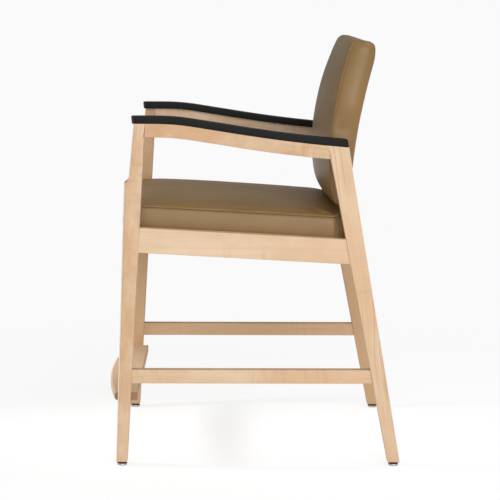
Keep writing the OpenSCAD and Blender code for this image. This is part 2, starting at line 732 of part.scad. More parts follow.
// Glide pieces, for the glide whose foot is at y on the left side
module glide_base(y) color(steel) translate([inner_x + frame_t / 2, y, 0]) difference() {
    cylinder(d = glide_d, h = glide_base_h);
    translate([0, 0, stem_seat]) cylinder(d = glide_stem_d + 2 * glue_gap, h = glide_base_h);
}
module glide_ring(y) color(rubber) translate([inner_x + frame_t / 2, y, glide_base_h]) difference() {
    cylinder(d = glide_d, h = glide_ring_h);
    translate([0, 0, -over]) cylinder(d = glide_stem_d + 2 * glue_gap, h = glide_ring_h + 2 * over);
}
module glide_stem(y) color(steel) translate([inner_x + frame_t / 2, y, stem_seat])
    cylinder(d = glide_stem_d, h = glide_base_h + glide_ring_h - stem_seat + glide_stem_l);
module glide_insert(y) translate([inner_x + frame_t / 2, y, foot_z]) difference() {
    cylinder(d = insert_d, h = insert_l);
    translate([0, 0, -over]) cylinder(d = glide_stem_d + 2 * thread_gap, h = insert_l + 2 * over);
}

module seat_cover() color(vinyl) seat_frame()
    seat_form(seat_cover_rows, seat_outer_rows, seat_top_w, seat_top_w - cover_wall);
module seat_foam() color(foam) seat_frame()
    seat_form(seat_foam_rows, len(seat_foam_rows), seat_top_w - cover_wall - gap, deck_t + gap);
module seat_deck() color(plywood) difference() {
    seat_frame() translate([0, seat_mid_y, deck_z]) linear_extrude(deck_t) polygon(seat_filling * seat_outline);
    both_sides() seat_frame() deck_screw_set(glue_gap);
}
module dust_cover() color(black) seat_frame() translate([0, 0, deck_z - dust_t]) {
    x = seat_half_w - deck_edge - dust_margin;
    front = front_block_y + gap;
    back = rear_rail_y - gap;
    cut = block_side - (inner_x - x) + 2 * gap;
    linear_extrude(dust_t) polygon([
        [cut - x, front], [x - cut, front], [x, front + cut], [x, back - cut],
        [x - cut, back], [cut - x, back], [-x, back - cut], [-x, front + cut]
    ]);
}
module corner_blocks() color(wood) both_sides() seat_frame() difference() {
    block_corners() translate([0, 0, -block_h]) linear_extrude(block_h)
        polygon([[0, 0], [-block_side, 0], [0, block_side]]);
    block_screw_set(glue_gap);
    block_screw_heads(gap, block_side);
    deck_screw_set(glue_gap);
    deck_screw_places() translate([0, 0, -block_h]) cylinder(d = screw_head_d + 2 * gap, h = block_h);
}
module corner_block_screws() color(steel) both_sides() seat_frame() {
    block_screw_set(0);
    block_screw_heads(0, screw_head_h);
}
module deck_screws() color(steel) both_sides() seat_frame() {
    deck_screw_set(0);
    deck_screw_places() translate([0, 0, -screw_head_h]) cylinder(d = screw_head_d, h = screw_head_h);
}
module arm_cap_bolts() color(steel) both_sides() bolt_places() translate([0, 0, bolt_sink - arm_rail_d]) {
    cylinder(d = bolt_d, h = arm_rail_d - bolt_sink + cap_insert_l);
    translate([0, 0, -bolt_head_h]) cylinder(d = bolt_head_d, h = bolt_head_h);
}
module arm_cap_inserts() color(brass) both_sides() bolt_places() translate([0, 0, cap_insert_lift])
    difference() {
        cylinder(d = cap_insert_d, h = cap_insert_l);
        translate([0, 0, -over]) cylinder(d = bolt_d + 2 * glue_gap, h = cap_insert_l + 2 * over);
    }

module back_panel() color(plywood) difference() {
    back_plate(back_panel_half, back_low_z + back_panel_rise, back_top_z - back_panel_drop,
        back_panel_w, back_panel_far);
    both_sides() translate([cleat_x, 0, cleat_low_z]) cube([back_half_w, foot_spacing, cleat_h]);
}
module back_cleats() color(wood) both_sides() difference() {
    cleat_space(0, cleat_w);
    pin_set(glue_gap);
}
module back_foam() color(foam) difference() {
    back_form(back_foam_rows, len(back_foam_rows), back_top_w - cover_wall - gap, cover_wall + gap);
    back_plate(back_half_w, back_low_z, back_top_z + back_top_bow, -over, cover_wall);
    back_plate(back_panel_half + gap, back_cover_low - gap, back_cover_high + gap, -over, back_panel_far + gap);
    both_sides() cleat_space(gap, inner_x - cleat_x);
}
module back_cover() color(vinyl) difference() {
    back_form(back_cover_rows, back_outer_rows, back_top_w, back_top_w - cover_wall);
    both_sides() spacer_holes();
}
module back_rear_cover() color(vinyl) intersection() {
    back_plate(back_half_w, back_low_z, back_top_z + back_top_bow, 0, cover_wall - back_facet_gap / 2);
    translate([0, foot_spacing, back_mid_z]) rotate([90, 0, 0]) linear_extrude(foot_spacing)
        polygon([for (p = (back_lip_scale - gap / back_half_w) * back_outline) p + [0, back_rise(p, 0)]]);
}
module back_pins() color(steel) both_sides() pin_set(0);
module back_spacers() color(black) both_sides() pin_places() difference() {
    translate([cleat_x + cleat_w, 0, 0]) bar_x(pin_d + 2 * spacer_wall, inner_x - cleat_x - cleat_w);
    translate([cleat_x, 0, 0]) bar_x(pin_d + 2 * glue_gap, inner_x);
}

chair_frame() left_front_leg();  // front_leg_left
chair_frame() right_side() left_front_leg();  // front_leg_right
chair_frame() left_rear_leg();  // rear_leg_left
chair_frame() right_side() left_rear_leg();  // rear_leg_right
chair_frame() left_arm_rail();  // arm_rail_left
chair_frame() right_side() left_arm_rail();  // arm_rail_right
chair_frame() left_arm_cap();  // arm_cap_left
chair_frame() right_side() left_arm_cap();  // arm_cap_right
chair_frame() left_side_rail();  // seat_side_rail_left
chair_frame() right_side() left_side_rail();  // seat_side_rail_right
chair_frame() left_stretcher();  // side_stretcher_left
chair_frame() right_side() left_stretcher();  // side_stretcher_right
chair_frame() cross_rail(front_rail_y);  // front_seat_rail
chair_frame() cross_rail(rear_rail_y);  // rear_seat_rail
chair_frame() foot_board();
chair_frame() corner_blocks();
chair_frame() color(wood) both_sides() side_rail_dowel_set(0);  // side_rail_dowels
chair_frame() color(wood) both_sides() cross_rail_dowel_set(0);  // cross_rail_dowels
chair_frame() color(wood) both_sides() stretcher_dowel_set(0);  // stretcher_dowels
chair_frame() color(wood) both_sides() arm_rail_dowel_set(0);  // arm_rail_dowels
chair_frame() color(wood) both_sides() board_dowel_set(0);  // foot_board_dowels
chair_frame() corner_block_screws();
chair_frame() deck_screws();
chair_frame() arm_cap_bolts();
chair_frame() arm_cap_inserts();
chair_frame() seat_deck();
chair_frame() seat_foam();
chair_frame() seat_cover();
chair_frame() dust_cover();
chair_frame() back_panel();
chair_frame() back_cleats();
chair_frame() back_foam();
chair_frame() back_cover();
chair_frame() back_rear_cover();
chair_frame() back_pins();
chair_frame() back_spacers();
chair_frame() color(steel) both_sides() {  // glide_inserts
    glide_insert(0);
    glide_insert(foot_spacing);
}
chair_frame() glide_base(0);  // glide_base_front_left
chair_frame() glide_ring(0);  // glide_ring_front_left
chair_frame() glide_stem(0);  // glide_stem_front_left
chair_frame() right_side() glide_base(0);  // glide_base_front_right
chair_frame() right_side() glide_ring(0);  // glide_ring_front_right
chair_frame() right_side() glide_stem(0);  // glide_stem_front_right
chair_frame() glide_base(foot_spacing);  // glide_base_rear_left
chair_frame() glide_ring(foot_spacing);  // glide_ring_rear_left
chair_frame() glide_stem(foot_spacing);  // glide_stem_rear_left
chair_frame() right_side() glide_base(foot_spacing);  // glide_base_rear_right
chair_frame() right_side() glide_ring(foot_spacing);  // glide_ring_rear_right
chair_frame() right_side() glide_stem(foot_spacing);  // glide_stem_rear_right
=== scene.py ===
"""Looks for the high patient chair: maple side frames, black moulded arm caps, vinyl seat and back."""

import math

import bmesh
import bpy
import numpy as np
from mathutils import Matrix, Vector
from mathutils.bvhtree import BVHTree
from mathutils.kdtree import KDTree


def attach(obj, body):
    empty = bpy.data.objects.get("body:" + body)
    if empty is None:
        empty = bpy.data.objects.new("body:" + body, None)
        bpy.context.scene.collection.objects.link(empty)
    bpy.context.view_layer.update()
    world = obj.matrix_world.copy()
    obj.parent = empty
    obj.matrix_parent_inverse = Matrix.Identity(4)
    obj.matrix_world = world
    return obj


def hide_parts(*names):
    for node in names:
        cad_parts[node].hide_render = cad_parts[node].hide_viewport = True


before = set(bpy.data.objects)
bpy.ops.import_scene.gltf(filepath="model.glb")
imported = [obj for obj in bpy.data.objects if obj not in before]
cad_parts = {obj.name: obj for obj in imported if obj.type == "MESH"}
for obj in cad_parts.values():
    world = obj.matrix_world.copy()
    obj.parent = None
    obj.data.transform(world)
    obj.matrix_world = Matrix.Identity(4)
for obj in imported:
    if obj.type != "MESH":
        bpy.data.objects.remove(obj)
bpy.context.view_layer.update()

MM = 0.001
CHAIR = "chair"

# Lengths of the solids, in millimetres, with Y measured from the front glides
HALF_W = 305.0
INNER_X = 275.0
FOOT_SPACING = 595.7
FOOT_Z = 9.6
BOARD_AHEAD = 40.0
ORIGIN_Y = (BOARD_AHEAD - FOOT_SPACING - 13.7) / 2
ARM_Z = 749.5
ARM_RAIL_D = 29.0
CAP_T = 15.5
CAP_W = 46.0
SEAT_LINE_Z = 527.25
SEAT_TILT = math.radians(3.0)
# Depth of the seat's rails and height of the deck's underside, from the seat line
RAIL_D = 54.0
DECK_Z = -20.0


def at(x, y, z):
    """A point of the part's source, in the scene's metres."""
    return Vector((x, y + ORIGIN_Y, z)) * MM


def leaning(y, z, degrees):
    """An edge that passes through (y, z) and leans from the vertical, as a function of height."""
    slope = math.tan(math.radians(degrees))
    return lambda height: y + (height - z) * slope


front_edge = leaning(-13.2, FOOT_Z, 1.94)
front_back_edge = leaning(11.8, FOOT_Z, 3.15)
post_edge = leaning(front_back_edge(ARM_Z) - 24.5, ARM_Z, 5.3)
rear_front_edge = leaning(FOOT_SPACING - 13.7, FOOT_Z, -11.17)
rear_back_edge = leaning(FOOT_SPACING + 13.7, FOOT_Z, -9.85)

ARM_LEVEL_Y = 75.0
ARM_DOWN_R = 516.0
ARM_SLOPE = math.radians(8.8)
ARM_UP_R = 3120.0
ARM_BEND_Y = ARM_LEVEL_Y + ARM_DOWN_R * math.sin(ARM_SLOPE)
ARM_RISE_Y = ARM_BEND_Y + 100.0
ARM_BEND_DROP = ARM_DOWN_R * (1 - math.cos(ARM_SLOPE))
ARM_RISE_DROP = ARM_BEND_DROP + 100.0 * math.tan(ARM_SLOPE)


def arm_drop(y):
    """How far the arm line lies below its level front, at a place along it."""
    if y <= ARM_LEVEL_Y:
        return 0.0
    if y <= ARM_BEND_Y:
        return ARM_DOWN_R - math.sqrt(ARM_DOWN_R**2 - (y - ARM_LEVEL_Y) ** 2)
    if y <= ARM_RISE_Y:
        return ARM_BEND_DROP + (y - ARM_BEND_Y) * math.tan(ARM_SLOPE)
    centre = ARM_RISE_Y + ARM_UP_R * math.sin(ARM_SLOPE)
    return ARM_RISE_DROP - ARM_UP_R * math.cos(ARM_SLOPE) + math.sqrt(ARM_UP_R**2 - (y - centre) ** 2)


def arm_line(y):
    return ARM_Z - arm_drop(y)


def meets_arm(edge, below=0.0):
    """Height at which a leg's edge meets the arm line, or a line below it."""
    z = ARM_Z
    for _ in range(20):
        z = arm_line(edge(z)) - below
    return z


# --- shader tools ---


class Socket:
    """An output of a shader node, with arithmetic that adds Math nodes."""

    def __init__(self, finish, out):
        self.finish = finish
        self.out = out

    def __add__(self, other):
        return self.finish.maths("ADD", self, other)

    __radd__ = __add__

    def __mul__(self, other):
        return self.finish.maths("MULTIPLY", self, other)

    __rmul__ = __mul__

    def __sub__(self, other):
        return self.finish.maths("SUBTRACT", self, other)

    def __rsub__(self, other):
        return self.finish.maths("SUBTRACT", other, self)

    def __truediv__(self, other):
        return self.finish.maths("DIVIDE", self, other)


class Finish:
    """A material being made: its node tree, its surface, and one way of adding a node."""

    def __init__(self, name):
        self.material = bpy.data.materials.new(name)
        self.material.use_nodes = True
        self.tree = self.material.node_tree
        self.surface = self.tree.nodes["Principled BSDF"]

    def feed(self, socket, value):
        if isinstance(value, Socket):
            self.tree.links.new(value.out, socket)
        else:
            socket.default_value = value

    def node(self, kind, settings=None, inputs=None, output=0):
        """A new node: its settings go first, then the values or links of its sockets."""
        made = self.tree.nodes.new("ShaderNode" + kind)
        for key, value in (settings or {}).items():
            if key == "stops":
                self.set_stops(made.color_ramp, value)
            else:
                setattr(made, key, value)
        for key, value in (inputs or {}).items():
            self.feed(made.inputs[key], value)
        return Socket(self, made.outputs[output])

    @staticmethod
    def set_stops(ramp, stops):
        while len(ramp.elements) < len(stops):
            ramp.elements.new(0.5)
        for element, (place, colour) in zip(ramp.elements, stops):
            element.position = place
            element.color = colour

    def maths(self, operation, a, b=0.0):
        return self.node("Math", {"operation": operation}, {0: a, 1: b})

    def mix(self, share, a, b):
        """Colour a, turning to colour b as the share goes from 0 to 1."""
        return self.node("Mix", {"data_type": "RGBA"}, {0: share, 6: a, 7: b}, output=2)

    def ramp(self, value, low, high):
        """0 at low, 1 at high, and smooth between them."""
        return self.node("MapRange", {"interpolation_type": "SMOOTHSTEP"}, {0: value, 1: low, 2: high})

    def place(self):
        return self.node("TexCoord", output="Object")

    def part(self, vector, direction):
        """How far a point lies along a direction."""
        return self.node("VectorMath", {"operation": "DOT_PRODUCT"}, {0: vector, 1: direction}, "Value")

    def point(self, x, y, z):
        return self.node("CombineXYZ", None, {0: x, 1: y, 2: z})

    def finer(self, vector, factors):
        """The place, multiplied along X, Y and Z, so that a texture gets finer along each."""
        return self.node("VectorMath", {"operation": "MULTIPLY"}, {0: vector, 1: factors})

    def noise(self, vector, scale, detail=2.0, roughness=0.5, distortion=0.0):
        look = {"Detail": detail, "Roughness": roughness, "Distortion": distortion}
        return self.node("TexNoise", None, {"Vector": vector, "Scale": scale, **look})

    def cells(self, vector, scale):
        return self.node("TexVoronoi", {"feature": "F1"}, {"Vector": vector, "Scale": scale})

    def bump(self, height, depth, strength):
        """Feeds the surface's normal from a height, where depth is in metres."""
        normal = self.node("Bump", None, {"Height": height, "Distance": depth, "Strength": strength})
        self.feed(self.surface.inputs["Normal"], normal)

    def set(self, **values):
        for name, value in values.items():
            self.feed(self.surface.inputs[name.replace("_", " ")], value)
        return self.material


def rgb(red, green, blue):
    """A colour as it looks on screen, from 0 to 255, turned to linear light."""

    def linear(c):
        c = c / 255
        return c / 12.92 if c <= 0.04045 else ((c + 0.055) / 1.055) ** 2.4

    return (linear(red), linear(green), linear(blue), 1.0)


# --- finishes ---


def maple(name, along, shift, lean=0.03, pale=0.0, deep=0.0, figure=1.0, painted_edge_light=0):
    """Clear-finished maple, with the grain running along a direction.

    shift picks another part of the log, and lean tilts its growth rings. pale and deep are shares that
    shift its tone, and figure strengthens its clouds and curl; the deep share of the right-hand pieces is
    painted shade. A painted highlight lies on the roundings, with a painted shade line beside it: -1 for
    the roundings that face the front, with painted shade on the ledge at the step, and 1 for those that face
    the rear.
    """
    f = Finish(name)
    a = Vector(along).normalized()
    b = a.cross(Vector((0, 0, 1)) if abs(a.z) < 0.9 else Vector((0, 1, 0))).normalized()
    c = a.cross(b)
    where = f.place()
    u = f.part(where, a[:]) + shift
    v = f.part(where, b[:]) + shift * 0.37
    w = f.part(where, c[:]) + shift * 0.71

    def grain(run, across, detail, *look):
        """Noise at one scale along the grain and another across it."""
        return f.noise(f.point(u * run, v * across, w * across), 1.0, detail, *look)

    # Growth rings round a pith that lies outside the board and leans a little against it
    wander = grain(2.6, 3.0, 2.0) - 0.5
    ring_v = v - shift * 0.37 + wander * 0.05 + u * lean * 0.4 - shift * lean * 0.4
    ring_w = w - shift * 0.71 + u * lean - shift * lean + 0.07
    radius = f.maths("SQRT", ring_v * ring_v + ring_w * ring_w)
    rings = f.noise(f.point(radius * 330.0, u * 0.9, shift), 1.0, 2.0, 0.55)
    line = f.maths("ABSOLUTE", f.noise(f.point(radius * 120.0, u * 0.7, shift + 3.0), 1.0, 1.0) - 0.5)
    vein_zone = f.ramp(grain(3.4, 12.0, 1.0), 0.46, 0.62)
    veins = (1 - f.ramp(line, 0.0, 0.030)) * vein_zone
    fine = grain(14.0, 640.0, 3.0, 0.6)
    flecks = f.ramp(grain(110.0, 1400.0, 1.0), 0.70, 0.80)
    curl_zone = f.ramp(grain(5.0, 9.0, 1.0), 0.48, 0.66)
    curl = grain(110.0, 22.0, 1.5, 0.4, 0.5) - 0.5
    patch = grain(9.0, 22.0, 3.0, 0.55)
    blush = f.noise(f.point(u * 3.5 + 7.0, v * 8.0, w * 8.0), 1.0, 2.0)
    blotch = grain(24.0, 40.0, 2.0)
    tone = f.mix(f.ramp(patch, 0.32, 0.70), rgb(228, 202, 171), rgb(219, 186, 150))
    tone = f.mix(f.ramp(blush, 0.45, 0.68) * min(0.9, 0.55 * figure), tone, rgb(218, 177, 139))
    tone = f.mix(f.ramp(rings, 0.35, 0.75) * 0.28, tone, rgb(206, 164, 124))
    tone = f.mix(f.ramp(fine, 0.42, 0.80) * 0.14, tone, rgb(200, 158, 118))
    tone = f.mix(curl_zone * f.ramp(curl, 0.0, 0.22) * (0.3 * figure), tone, rgb(196, 154, 115))
    tone = f.mix(f.ramp(blotch, 0.5, 0.7) * (0.5 * (figure - 1)), tone, rgb(204, 150, 98))
    tone = f.mix((1 - f.ramp(blotch, 0.3, 0.46)) * (0.45 * (figure - 1)), tone, rgb(240, 214, 188))
    tone = f.mix(veins * 0.65, tone, rgb(180, 132, 90))
    tone = f.mix(flecks * 0.22, tone, rgb(180, 136, 96))
    tone = f.mix(pale, tone, rgb(243, 220, 190))
    # The deep tone, which on the right-hand pieces is painted shade
    tone = f.mix(deep, tone, rgb(193, 154, 113))
    # Where the cut crosses the grain, the finish soaks in and the wood is darker
    normal = f.node("TexCoord", output="Normal")
    across = f.maths("ABSOLUTE", f.part(normal, a[:]))
    tone = f.mix(f.ramp(across, 0.35, 0.95) * 0.72, tone, rgb(140, 98, 66))
    # Painted light on the edges' roundings, on those that face the front (-1) or the rear (1)
    if painted_edge_light:
        turned = f.part(normal, (0.0, float(painted_edge_light), 0.0))
        # Painted shade: a darker line just inside the rounding
        beside = f.ramp(turned, 0.06, 0.16) - f.ramp(turned, 0.3, 0.45)
        tone = f.mix(beside * 0.45, tone, rgb(168, 136, 106))
        # Painted highlight: the rounding itself made paler
        edge = f.ramp(turned, 0.4, 0.6) - f.ramp(turned, 0.95, 1.0)
        tone = f.mix(edge * 0.8, tone, rgb(252, 240, 224))
    # Painted shade on the front legs' up-facing ledge at the step
    if painted_edge_light < 0:
        up = f.part(normal, (0.0, 0.0, 1.0))
        tone = f.mix(f.ramp(up, 0.2, 0.6) * 0.8, tone, rgb(120, 92, 62))
    f.bump(fine * 0.6 + flecks * -0.4, 0.0002, 0.10)
    rough = f.ramp(fine, 0.2, 0.8) * 0.08 + 0.44
    return f.set(Base_Color=tone, Roughness=rough, IOR=1.42)


def end_grain():
    """Sawn hardwood of the hidden blocks, dowels and cleats."""
    f = Finish("sawn_hardwood")
    where = f.place()
    grain = f.noise(where, 900.0, 3.0, 0.6)
    stripe = f.noise(f.finer(where, (60.0, 700.0, 700.0)), 1.0, 2.0)
    tone = f.mix(f.ramp(stripe, 0.3, 0.75), rgb(219, 187, 150), rgb(190, 150, 108))
    f.bump(grain, 0.0003, 0.2)
    return f.set(Base_Color=tone, Roughness=grain * 0.2 + 0.55)


def plywood():
    f = Finish("birch_plywood")
    where = f.place()
    face = f.noise(f.finer(where, (14.0, 420.0, 420.0)), 1.0, 3.0)
    cloud = f.noise(where, 9.0, 2.0)
    tone = f.mix(f.ramp(face, 0.3, 0.8), rgb(214, 184, 146), rgb(184, 148, 108))
    tone = f.mix(f.ramp(cloud, 0.4, 0.8) * 0.4, tone, rgb(170, 134, 96))
    f.bump(face, 0.0003, 0.2)
    return f.set(Base_Color=tone, Roughness=face * 0.15 + 0.6)


def vinyl():
    """Healthcare vinyl: a fine pebbled grain, a slight shine, and soft changes of tone."""
    f = Finish("tan_vinyl")
    where = f.place()
    warp = f.noise(where, 380.0, 1.0) * 0.0006
    pebble = f.cells(where, 760.0)
    pore = f.noise(where, 2400.0, 2.0, 0.6)
    cloud = f.noise(where, 6.5, 2.0, 0.5)
    tone = f.mix(f.ramp(cloud, 0.3, 0.75), rgb(142, 110, 62), rgb(132, 101, 54))
    tone = f.mix(f.ramp(pebble, 0.45, 0.9) * 0.20, tone, rgb(110, 82, 43))
    f.bump(pebble * -0.8 + pore * 0.25 + warp, 0.00022, 0.28)
    rough = f.ramp(cloud, 0.2, 0.8) * 0.06 + pebble * 0.10 + 0.35
    return f.set(Base_Color=tone, Roughness=rough, IOR=1.5)


def stitch_vinyl(name, pale, dark):
    """A sewn edge along a seam, whose two tones paint its light: darker ones paint the shade in the seat's
    seam, paler ones a highlight along the back's.
    """
    f = Finish(name)
    where = f.place()
    run = f.noise(where, 420.0, 2.0)
    tone = f.mix(f.ramp(run, 0.35, 0.7), pale, dark)
    f.bump(run, 0.0002, 0.4)
    return f.set(Base_Color=tone, Roughness=run * 0.15 + 0.5)


def moulded_black():
    """Arm cap of self-skinned foam: near black, satin, with a fine moulded texture."""
    f = Finish("moulded_black")
    where = f.place()
    skin = f.noise(where, 1900.0, 2.0, 0.6)
    cloud = f.noise(where, 14.0, 2.0)
    tone = f.mix(f.ramp(cloud, 0.3, 0.8), rgb(21, 20, 20), rgb(15, 15, 15))
    tone = f.mix(f.ramp(skin, 0.5, 0.8) * 0.25, tone, rgb(32, 31, 31))
    # Painted highlight on the cap's roundings that face the front
    ahead = f.part(f.node("TexCoord", output="Normal"), (0.0, -1.0, 0.0))
    tone = f.mix((f.ramp(ahead, 0.3, 0.6) - f.ramp(ahead, 0.96, 1.0)) * 0.8, tone, rgb(64, 64, 64))
    f.bump(skin, 0.00012, 0.25)
    return f.set(Base_Color=tone, Roughness=skin * 0.14 + 0.5, IOR=1.27)


def metal(name, colour, polish):
    """Turned or plated metal, with fine rings round the upright axis."""
    f = Finish(name)
    where = f.place()
    streak = f.noise(f.finer(where, (20.0, 20.0, 60.0)), 220.0, 2.0)
    stain = f.noise(where, 160.0, 2.0)
    tone = f.mix(f.ramp(stain, 0.35, 0.8) * 0.5, colour, tuple(c * 0.72 for c in colour[:3]) + (1.0,))
    f.bump(streak, 0.00005, 0.3)
    return f.set(Base_Color=tone, Roughness=streak * 0.16 + polish, Metallic=1.0)


def rubber():
    f = Finish("glide_rubber")
    where = f.place()
    grain = f.noise(where, 1500.0, 2.0)
    tone = f.mix(f.ramp(grain, 0.3, 0.8), rgb(46, 38, 29), rgb(62, 52, 40))
    f.bump(grain, 0.00015, 0.3)
    return f.set(Base_Color=tone, Roughness=grain * 0.2 + 0.6)


def black_cloth(name, scale):
    """Non-woven black cloth, or moulded black trim at a finer scale."""
    f = Finish(name)
    where = f.place()
    fibre = f.noise(where, scale, 4.0, 0.7, 0.6)
    tone = f.mix(f.ramp(fibre, 0.3, 0.75), rgb(30, 30, 31), rgb(52, 52, 54))
    f.bump(fibre, 0.0003, 0.4)
    return f.set(Base_Color=tone, Roughness=fibre * 0.2 + 0.7)


# --- mesh tools ---


def new_object(name, mesh, material, body=CHAIR):
    made = bpy.data.objects.new(name, mesh)
    bpy.context.scene.collection.objects.link(made)
    made.data.materials.clear()
    made.data.materials.append(material)
    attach(made, body)
    return made


def settle_modifiers(piece):
    """Turns a piece's modifiers into its mesh."""
    bpy.context.view_layer.update()
    graph = bpy.context.evaluated_depsgraph_get()
    mesh = bpy.data.meshes.new_from_object(piece.evaluated_get(graph))
    piece.modifiers.clear()
    piece.data = mesh
    return piece


def round_edges(piece, widest, clamp):
    """Rounds the edges that carry a bevel weight, where weight 1 is the widest.

    clamp holds a rounding back where the edges beside it are shorter than its width.
    """
    bevel = piece.modifiers.new("rounding", "BEVEL")
    bevel.limit_method = "WEIGHT"
    bevel.width = widest * MM
    bevel.segments = 4
    bevel.use_clamp_overlap = clamp
    settle_modifiers(piece)
    piece.data.set_sharp_from_angle(angle=math.radians(32))
    even = piece.modifiers.new("flat_faces_stay_flat", "WEIGHTED_NORMAL")
    even.keep_sharp = True
    return settle_modifiers(piece)


def smooth_mesh(bm, name):
    """The mesh of a finished bmesh, with smooth faces that look outward."""
    bmesh.ops.recalc_face_normals(bm, faces=bm.faces)
    for face in bm.faces:
        face.smooth = True
    mesh = bpy.data.meshes.new(name)
    bm.to_mesh(mesh)
    bm.free()
    return mesh


def prism(name, outline, low, high, to_point, material, widest=5.0, clamp=True):
    """A prism over an outline of (p, q, run, corner).

    run is the rounding, in millimetres, of the edges from this point to the next, as one number or
    (at low, at high). corner is the rounding of the edge that crosses the prism at this point.
    """
    bm = bmesh.new()
    weight = bm.edges.layers.float.new("bevel_weight_edge")
    ends = [[bm.verts.new(to_point(p, q, level)) for p, q, _, _ in outline] for level in (low, high)]
    bm.faces.new(ends[0])
    bm.faces.new(list(reversed(ends[1])))
    count = len(outline)
    for i in range(count):
        j = (i + 1) % count
        bm.faces.new((ends[0][j], ends[0][i], ends[1][i], ends[1][j]))
    for i, (_, _, run, corner) in enumerate(outline):
        j = (i + 1) % count
        runs = run if isinstance(run, tuple) else (run, run)
        for end, radius in zip(ends, runs):
            bm.edges.get((end[i], end[j]))[weight] = radius / widest
        bm.edges.get((ends[0][i], ends[1][i]))[weight] = corner / widest
    return round_edges(new_object(name, smooth_mesh(bm, name), material), widest, clamp)


def board_x(side):
    """Places an outline of (Y, Z) with its thickness along X, on the left (1) or the right (-1)."""
    return lambda p, q, level: at(side * level, p, q)


def stations(a, b, n):
    return [a + (b - a) * i / n for i in range(n + 1)]


def grid_mesh(name, rings, first=None, last=None, material=None, body=CHAIR):
    """A smooth closed mesh over rings of points, with a fan to a first and a last point."""
    bm = bmesh.new()
    rows = [[bm.verts.new(p) for p in ring] for ring in rings]
    n = len(rows[0])
    for a, b in zip(rows, rows[1:]):
        for j in range(n):
            bm.faces.new((a[j], a[(j + 1) % n], b[(j + 1) % n], b[j]))
    for point, row, turn in ((first, rows[0], True), (last, rows[-1], False)):
        if point is None:
            continue
        tip = bm.verts.new(point)
        for j in range(n):
            pair = (row[(j + 1) % n], row[j]) if turn else (row[j], row[(j + 1) % n])
            bm.faces.new((tip, *pair))
    return new_object(name, smooth_mesh(bm, name), material, body)


# --- wooden side frames ---

SIDES = (("left", 1), ("right", -1))
GRAIN = {
    "front_leg": (0.0, math.sin(math.radians(2.6)), math.cos(math.radians(2.6))),
    "rear_leg": (0.0, -math.sin(math.radians(10.5)), math.cos(math.radians(10.5))),
    "arm_rail": (0.0, 1.0, -0.12),
    "side_rail": (0.0, math.cos(SEAT_TILT), -math.sin(SEAT_TILT)),
    "stretcher": (0.0, 1.0, 0.0),
    "cross": (1.0, 0.0, 0.0),
}
# How the maple of each piece looks, as maple() takes it. The deep shares of the right-hand front leg, rear
# leg and stretcher are painted shade, darker than their left twins
WOOD = {
    "front_leg_left": {"shift": 0.31, "lean": 0.06, "deep": 0.22, "figure": 1.7, "painted_edge_light": -1},
    "front_leg_right": {"shift": 1.77, "lean": 0.06, "deep": 0.7, "figure": 1.7, "painted_edge_light": -1},
    "rear_leg_left": {"shift": 2.93, "lean": 0.04, "deep": 0.06, "painted_edge_light": 1},
    "rear_leg_right": {"shift": 4.11, "lean": 0.04, "deep": 0.9, "painted_edge_light": 1},
    "arm_rail_left": {"shift": 5.42, "deep": 0.42, "figure": 1.9},
    "arm_rail_right": {"shift": 6.18, "pale": 0.3, "figure": 1.9},
    "seat_side_rail_left": {"shift": 7.36, "pale": 0.04},
    "seat_side_rail_right": {"shift": 8.83, "pale": 0.04},
    "side_stretcher_left": {"shift": 9.21},
    "side_stretcher_right": {"shift": 10.4, "deep": 0.6},
    "foot_board": {"shift": 11.9, "deep": 0.3},
    "front_seat_rail": {"shift": 12.6},
    "rear_seat_rail": {"shift": 13.9},
}
# Rounding of a board's long edges, and of the lower ends of the legs
EDGE_R, FOOT_R = 1.8, 1.2


def wooden(name, node, grain, outline, low, high, to_point, widest=5.0, clamp=True):
    """A piece of maple that stands for one of the part's solids."""
    piece = prism(name, outline, low, high, to_point, maple(name, GRAIN[grain], **WOOD[node]), widest, clamp)
    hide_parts(node)


def front_leg(side_name, side):
    """Front leg with its cove at the step, rounded most along the outer front edge."""
    step_z, step_r, cove_low = 642.0, 22.0, 623.2
    front, cove = (2.4, 4.4), (2.0, 3.6)
    centre_y = post_edge(step_z) - step_r
    start = -math.asin((step_z - cove_low) / step_r)
    top_front = meets_arm(post_edge)
    top_back = meets_arm(front_back_edge)
    rail_low = meets_arm(front_back_edge, ARM_RAIL_D)
    outline = [(front_edge(FOOT_Z), FOOT_Z, front, FOOT_R)]
    for angle in stations(start, 0.0, 8):
        outline.append((centre_y + step_r * math.cos(angle), step_z + step_r * math.sin(angle), cove, 0.0))
    outline += [
        (post_edge(top_front), top_front, 0.0, 0.0),
        (front_back_edge(top_back), top_back, 0.0, 0.0),
        (front_back_edge(rail_low), rail_low, EDGE_R, 0.0),
        (front_back_edge(FOOT_Z), FOOT_Z, FOOT_R, FOOT_R),
    ]
    wooden(f"front_leg_wood_{side_name}", f"front_leg_{side_name}", "front_leg",
           outline, INNER_X, HALF_W, board_x(side), clamp=False)


def rear_leg(side_name, side):
    top_front = meets_arm(rear_front_edge)
    top_back = meets_arm(rear_back_edge)
    rail_low = meets_arm(rear_front_edge, ARM_RAIL_D)
    outline = [
        (rear_front_edge(FOOT_Z), FOOT_Z, EDGE_R, FOOT_R),
        (rear_front_edge(rail_low), rail_low, 0.0, 0.0),
        (rear_front_edge(top_front), top_front, 0.0, 0.0),
        (rear_back_edge(top_back), top_back, (2.2, 3.0), 0.0),
        (rear_back_edge(FOOT_Z), FOOT_Z, FOOT_R, FOOT_R),
    ]
    wooden(f"rear_leg_wood_{side_name}", f"rear_leg_{side_name}", "rear_leg",
           outline, INNER_X, HALF_W, board_x(side))


